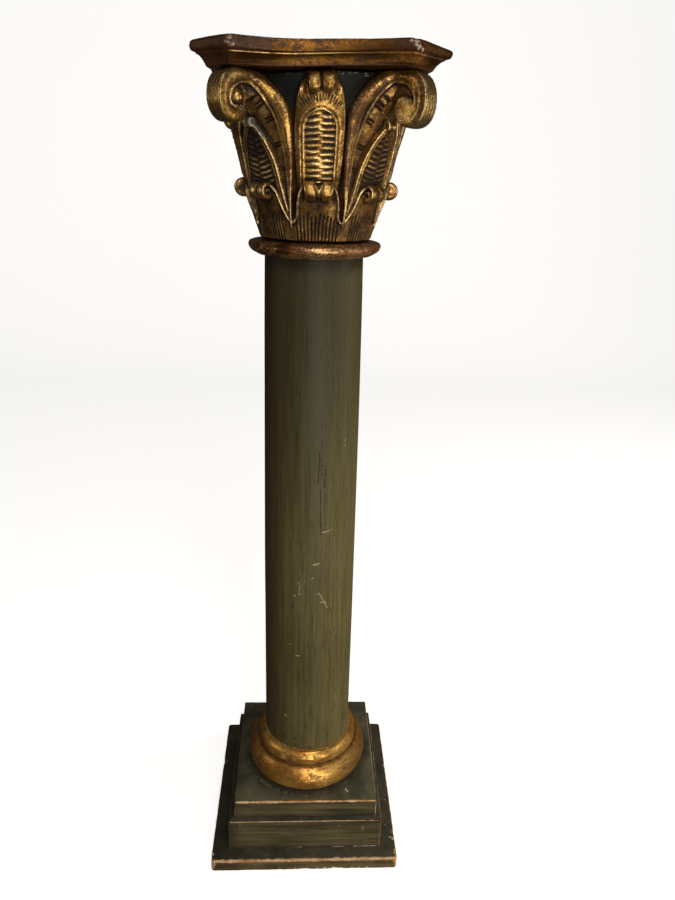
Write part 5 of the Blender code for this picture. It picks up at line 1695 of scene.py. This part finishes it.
def plinth_paint():
    g = Graph("plinth_paint")
    x, y, z = g.place()
    streak = g.noise(52.0, 5.0, 0.66, at=g.stretched(0.13, 0.13, 2.4))
    grain = g.noise(240.0, 4.0, 0.6, at=g.stretched(0.10, 0.10, 1.6))
    cloud = g.noise(16.0, 5.0, 0.6)
    mottle = g.noise(70.0, 5.0, 0.6)
    fine = g.noise(700.0, 3.0)
    face = g.mix(srgb(44, 39, 24), srgb(106, 94, 62), g.remap(g.add(g.mul(streak, 0.62), g.mul(grain, 0.18), g.mul(cloud, 0.20)), 0.34, 0.66))
    # the bottom board's edge is rubbed paler and browner
    face = g.mix(face, srgb(118, 98, 68), g.mul(g.remap(z, 0.0136, 0.0126), g.remap(g.add(g.mul(streak, 0.6), g.mul(mottle, 0.4)), 0.36, 0.62), 0.75))
    flat = g.mix(srgb(72, 75, 62), srgb(122, 116, 94), g.remap(g.add(g.mul(cloud, 0.6), g.mul(mottle, 0.4)), 0.36, 0.66))
    # painted light: the level tops get a lighter copy of the paint, a little greener and more even than the upright
    # faces, for the light from above
    lit_tops = g.remap(z, 0.1022, 0.1026)
    for level in (0.0138, 0.0707):
        lit_tops = g.most(lit_tops, g.remap(g.math("ABSOLUTE", g.math("SUBTRACT", z, level)), 0.0006, 0.0003))
    colour = g.mix(face, flat, lit_tops)
    # painted shade: the left side, away from the light, is darker
    colour = g.mix(colour, srgb(28, 22, 13), g.remap(g.add(x, g.mul(g.math("SUBTRACT", cloud, 0.5), 0.06)), -0.085, -0.125, 0.0, 0.55))
    # painted shade: darker round the moulding and in the corners between boards
    ring = g.math("SQRT", g.add(g.mul(x, x), g.mul(y, y)))
    near = g.mul(g.remap(ring, 0.112, 0.097), g.remap(z, 0.100, 0.1025), 0.6)
    for level in (0.0141, 0.0710):
        above = g.mul(g.remap(z, level + 0.010, level), g.remap(z, level - 0.004, level - 0.001), 0.5)
        near = g.most(near, above)
    colour = g.mix(colour, srgb(26, 24, 16), near)
    # crumbs of pale filling along the foot of the moulding
    crumb = g.mul(g.remap(g.math("ABSOLUTE", g.math("SUBTRACT", ring, 0.0995)), 0.0045, 0.0010), g.remap(z, 0.1015, 0.1022),
                  g.remap(g.noise(160.0, 4.0, 0.7), 0.52, 0.58), g.remap(x, 0.03, -0.01, 0.3, 1.0))
    colour = g.mix(colour, srgb(134, 130, 112), g.mul(crumb, 0.75))
    # bare wood along the arrises
    edge, wide = g.attribute("edge"), g.attribute("wear")
    ragged = g.add(g.mul(g.noise(48.0, 3.0, 0.6), 1.5), g.mul(g.noise(190.0, 4.0, 0.7), 1.6), -0.60)
    wear = g.remap(g.math("SUBTRACT", g.mul(wide, ragged), edge), -0.0003, 0.0006)
    # bruised corners of the bottom board
    for place, radius in (((-0.1476, -0.1400, 0.0060), 0.0085), ((-0.1470, -0.1430, 0.0120), 0.0060), ((0.1458, -0.1405, 0.0080), 0.0075),
                          ((0.1458, -0.1300, 0.0135), 0.0050), ((-0.1476, -0.1300, 0.0138), 0.0040)):
        wear = g.most(wear, g.mul(g.spot(place, radius, 0.9, 240.0), 0.85))
    wood = g.mix(srgb(228, 192, 144), srgb(178, 120, 72), g.remap(g.add(g.mul(g.noise(55.0, 4.0, 0.6), 0.6), g.mul(grain, 0.4)), 0.42, 0.62))
    colour = g.mix(colour, wood, g.mul(wear, 0.92))
    # a worn brown band under the arris of the bottom board
    under = g.mul(g.remap(z, 0.0080, 0.0120), g.remap(z, 0.0136, 0.0130), g.remap(g.add(g.mul(streak, 0.5), g.mul(mottle, 0.5)), 0.40, 0.56), 0.5)
    colour = g.mix(colour, srgb(158, 116, 78), g.mul(under, g.less(wear)))
    # small knocks through to the white ground
    marks = g.scratch((0.0637, -0.0880, 0.1027), (0.0665, -0.0935, 0.1027), 0.0013, 0.8, 500.0)
    for a, b, w in (((0.0440, -0.1208, 0.0146), (0.0600, -0.1208, 0.0146), 0.0008), ((0.0780, -0.1208, 0.0148), (0.1130, -0.1208, 0.0148), 0.0009),
                    ((-0.0150, -0.1208, 0.0146), (-0.0060, -0.1208, 0.0146), 0.0006),
                    ((0.1200, -0.0977, 0.0700), (0.1200, -0.0860, 0.0700), 0.0007)):
        marks = g.most(marks, g.scratch(a, b, w, 1.5, 420.0))
    for place, radius in (((0.1435, -0.1060, 0.0138), 0.0030), ((0.1395, -0.1045, 0.0138), 0.0018), ((0.1446, 0.0017, 0.0138), 0.0018), ((0.1440, 0.0474, 0.0138), 0.0020),
                          ((0.1380, -0.0300, 0.0138), 0.0014), ((0.1330, -0.0800, 0.0138), 0.0012),
                          ((0.020, -0.143, -0.0050), 0.0024), ((0.031, -0.143, -0.0058), 0.0026), ((0.045, -0.143, -0.0054), 0.0030), ((0.058, -0.143, -0.0060), 0.0022),
                          ((0.004, -0.143, -0.0058), 0.0022), ((0.074, -0.143, -0.0054), 0.0024), ((0.086, -0.143, -0.0058), 0.0022),
                          ((-0.015, -0.143, -0.0060), 0.0022), ((0.098, -0.143, -0.0054), 0.0022), ((-0.040, -0.143, -0.0060), 0.0018)):
        marks = g.most(marks, g.mul(g.spot(place, radius, 1.8, 420.0), 0.7))
    for place, radius in (((0.0534, -0.1208, 0.0603), 0.0014), ((-0.1031, -0.1208, 0.0641), 0.0014)):
        marks = g.most(marks, g.mul(g.spot(place, radius, 0.8, 500.0), 0.25))
    for a, b in (((0.0904, -0.1208, 0.0570), (0.0908, -0.1208, 0.0490)), ((0.0932, -0.1208, 0.0560), (0.0930, -0.1208, 0.0520))):
        marks = g.most(marks, g.mul(g.scratch(a, b, 0.0007, 0.8, 500.0), 0.3))
    # chalky dust along the foot of the bottom board
    dust = g.mul(g.remap(z, -0.0035, -0.0062), g.remap(g.add(g.mul(mottle, 0.6), g.mul(grain, 0.4)), 0.48, 0.58), g.remap(x, -0.12, -0.02, 0.3, 1.0), 0.45)
    colour = g.mix(colour, srgb(170, 158, 134), dust)
    colour = g.mix(colour, srgb(228, 218, 196), marks)
    rough = g.add(g.remap(streak, 0.3, 0.7, 0.44, 0.60), g.mul(wear, 0.1))
    height = g.add(g.mul(streak, 0.5), g.mul(grain, 0.4), g.mul(fine, 0.1), g.mul(marks, -0.5))
    g.bsdf.inputs["Specular IOR Level"].default_value = 0.42
    return g.finish(colour, rough, 0.0, height, 0.0005, 0.55)


# ------------------------------------------------------------ build
BOARDS = (
    # node, name, half width, half depth, shift, foot, top, arris, corner radius, worn widths, seed, knocks
    ("plinth_slab", "slab_board", 0.1471, 0.1484, (-SHIFT_X, -SHIFT_Y), -DATUM, 0.0138, 0.0010, 0.0056,
     (3.6, 0.8, 0.9, 1.5, 0.7, 5.0, 4.0), 301,
     (((0.1471, -0.100, 0.0125), 0.008, 0.0016), ((0.050, -0.1484, -0.0060), 0.016, 0.0012), ((0.000, -0.1484, -0.0065), 0.012, 0.0010),
      ((-0.1471, 0.055, 0.013), 0.009, 0.0018), ((0.1471, 0.042, 0.013), 0.006, 0.0012), ((-0.1455, -0.143, 0.0130), 0.007, 0.0014))),
    ("plinth_block", "block_board", 0.1208, 0.1208, (-0.0008, 0.0), 0.0141, 0.0707, 0.0009, 0.0012,
     (1.15, 0.5, 0.35, 0.6, 0.0, 0.4, 0.7), 311,
     (((0.1208, 0.030, 0.0700), 0.008, 0.0015), ((-0.120, -0.120, 0.0700), 0.005, 0.0010), ((0.0534, -0.1208, 0.0603), 0.003, 0.0005))),
    ("plinth_step", "step_board", 0.1121, 0.1132, (-0.0003, 0.0011), 0.0710, 0.1027, 0.0011, 0.0022,
     (2.6, 0.8, 0.5, 0.8, 0.0, 0.8, 1.2), 321,
     (((0.1121, -0.1121, 0.1020), 0.006, 0.0014), ((-0.060, 0.1121, 0.1020), 0.009, 0.0016), ((-0.034, -0.1121, 0.1025), 0.005, 0.0010))),
)


def main():
    make_camera()
    make_lights()
    make_stage(floor_material())
    paint = plinth_paint()
    for node, name, *sizes in BOARDS:
        piece(name, board_mesh(name, *sizes), paint, node)
    piece("base_turning", leaning(turned_mesh("base_turning", base_line(), 320, base_uneven, 401), 0.0012, 0.0012), base_gold(), "base_moulding")
    piece("shaft_turning", leaning(turned_mesh("shaft_turning", shaft_line(), 256, shaft_uneven, 411), 0.0012, -0.0012), shaft_paint(), "shaft")
    piece("ring_turning", leaning(turned_mesh("ring_turning", ring_line(), 320, ring_uneven, 421), -0.0006, -0.0006), ring_gold(), "necking_ring")
    piece("abacus_board", abacus_mesh(), abacus_gold(), "abacus")
    obj, me = make_capital()
    me.materials.clear()
    me.materials.append(carved_gold())
    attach(obj, "root")
    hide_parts("capital")


main()
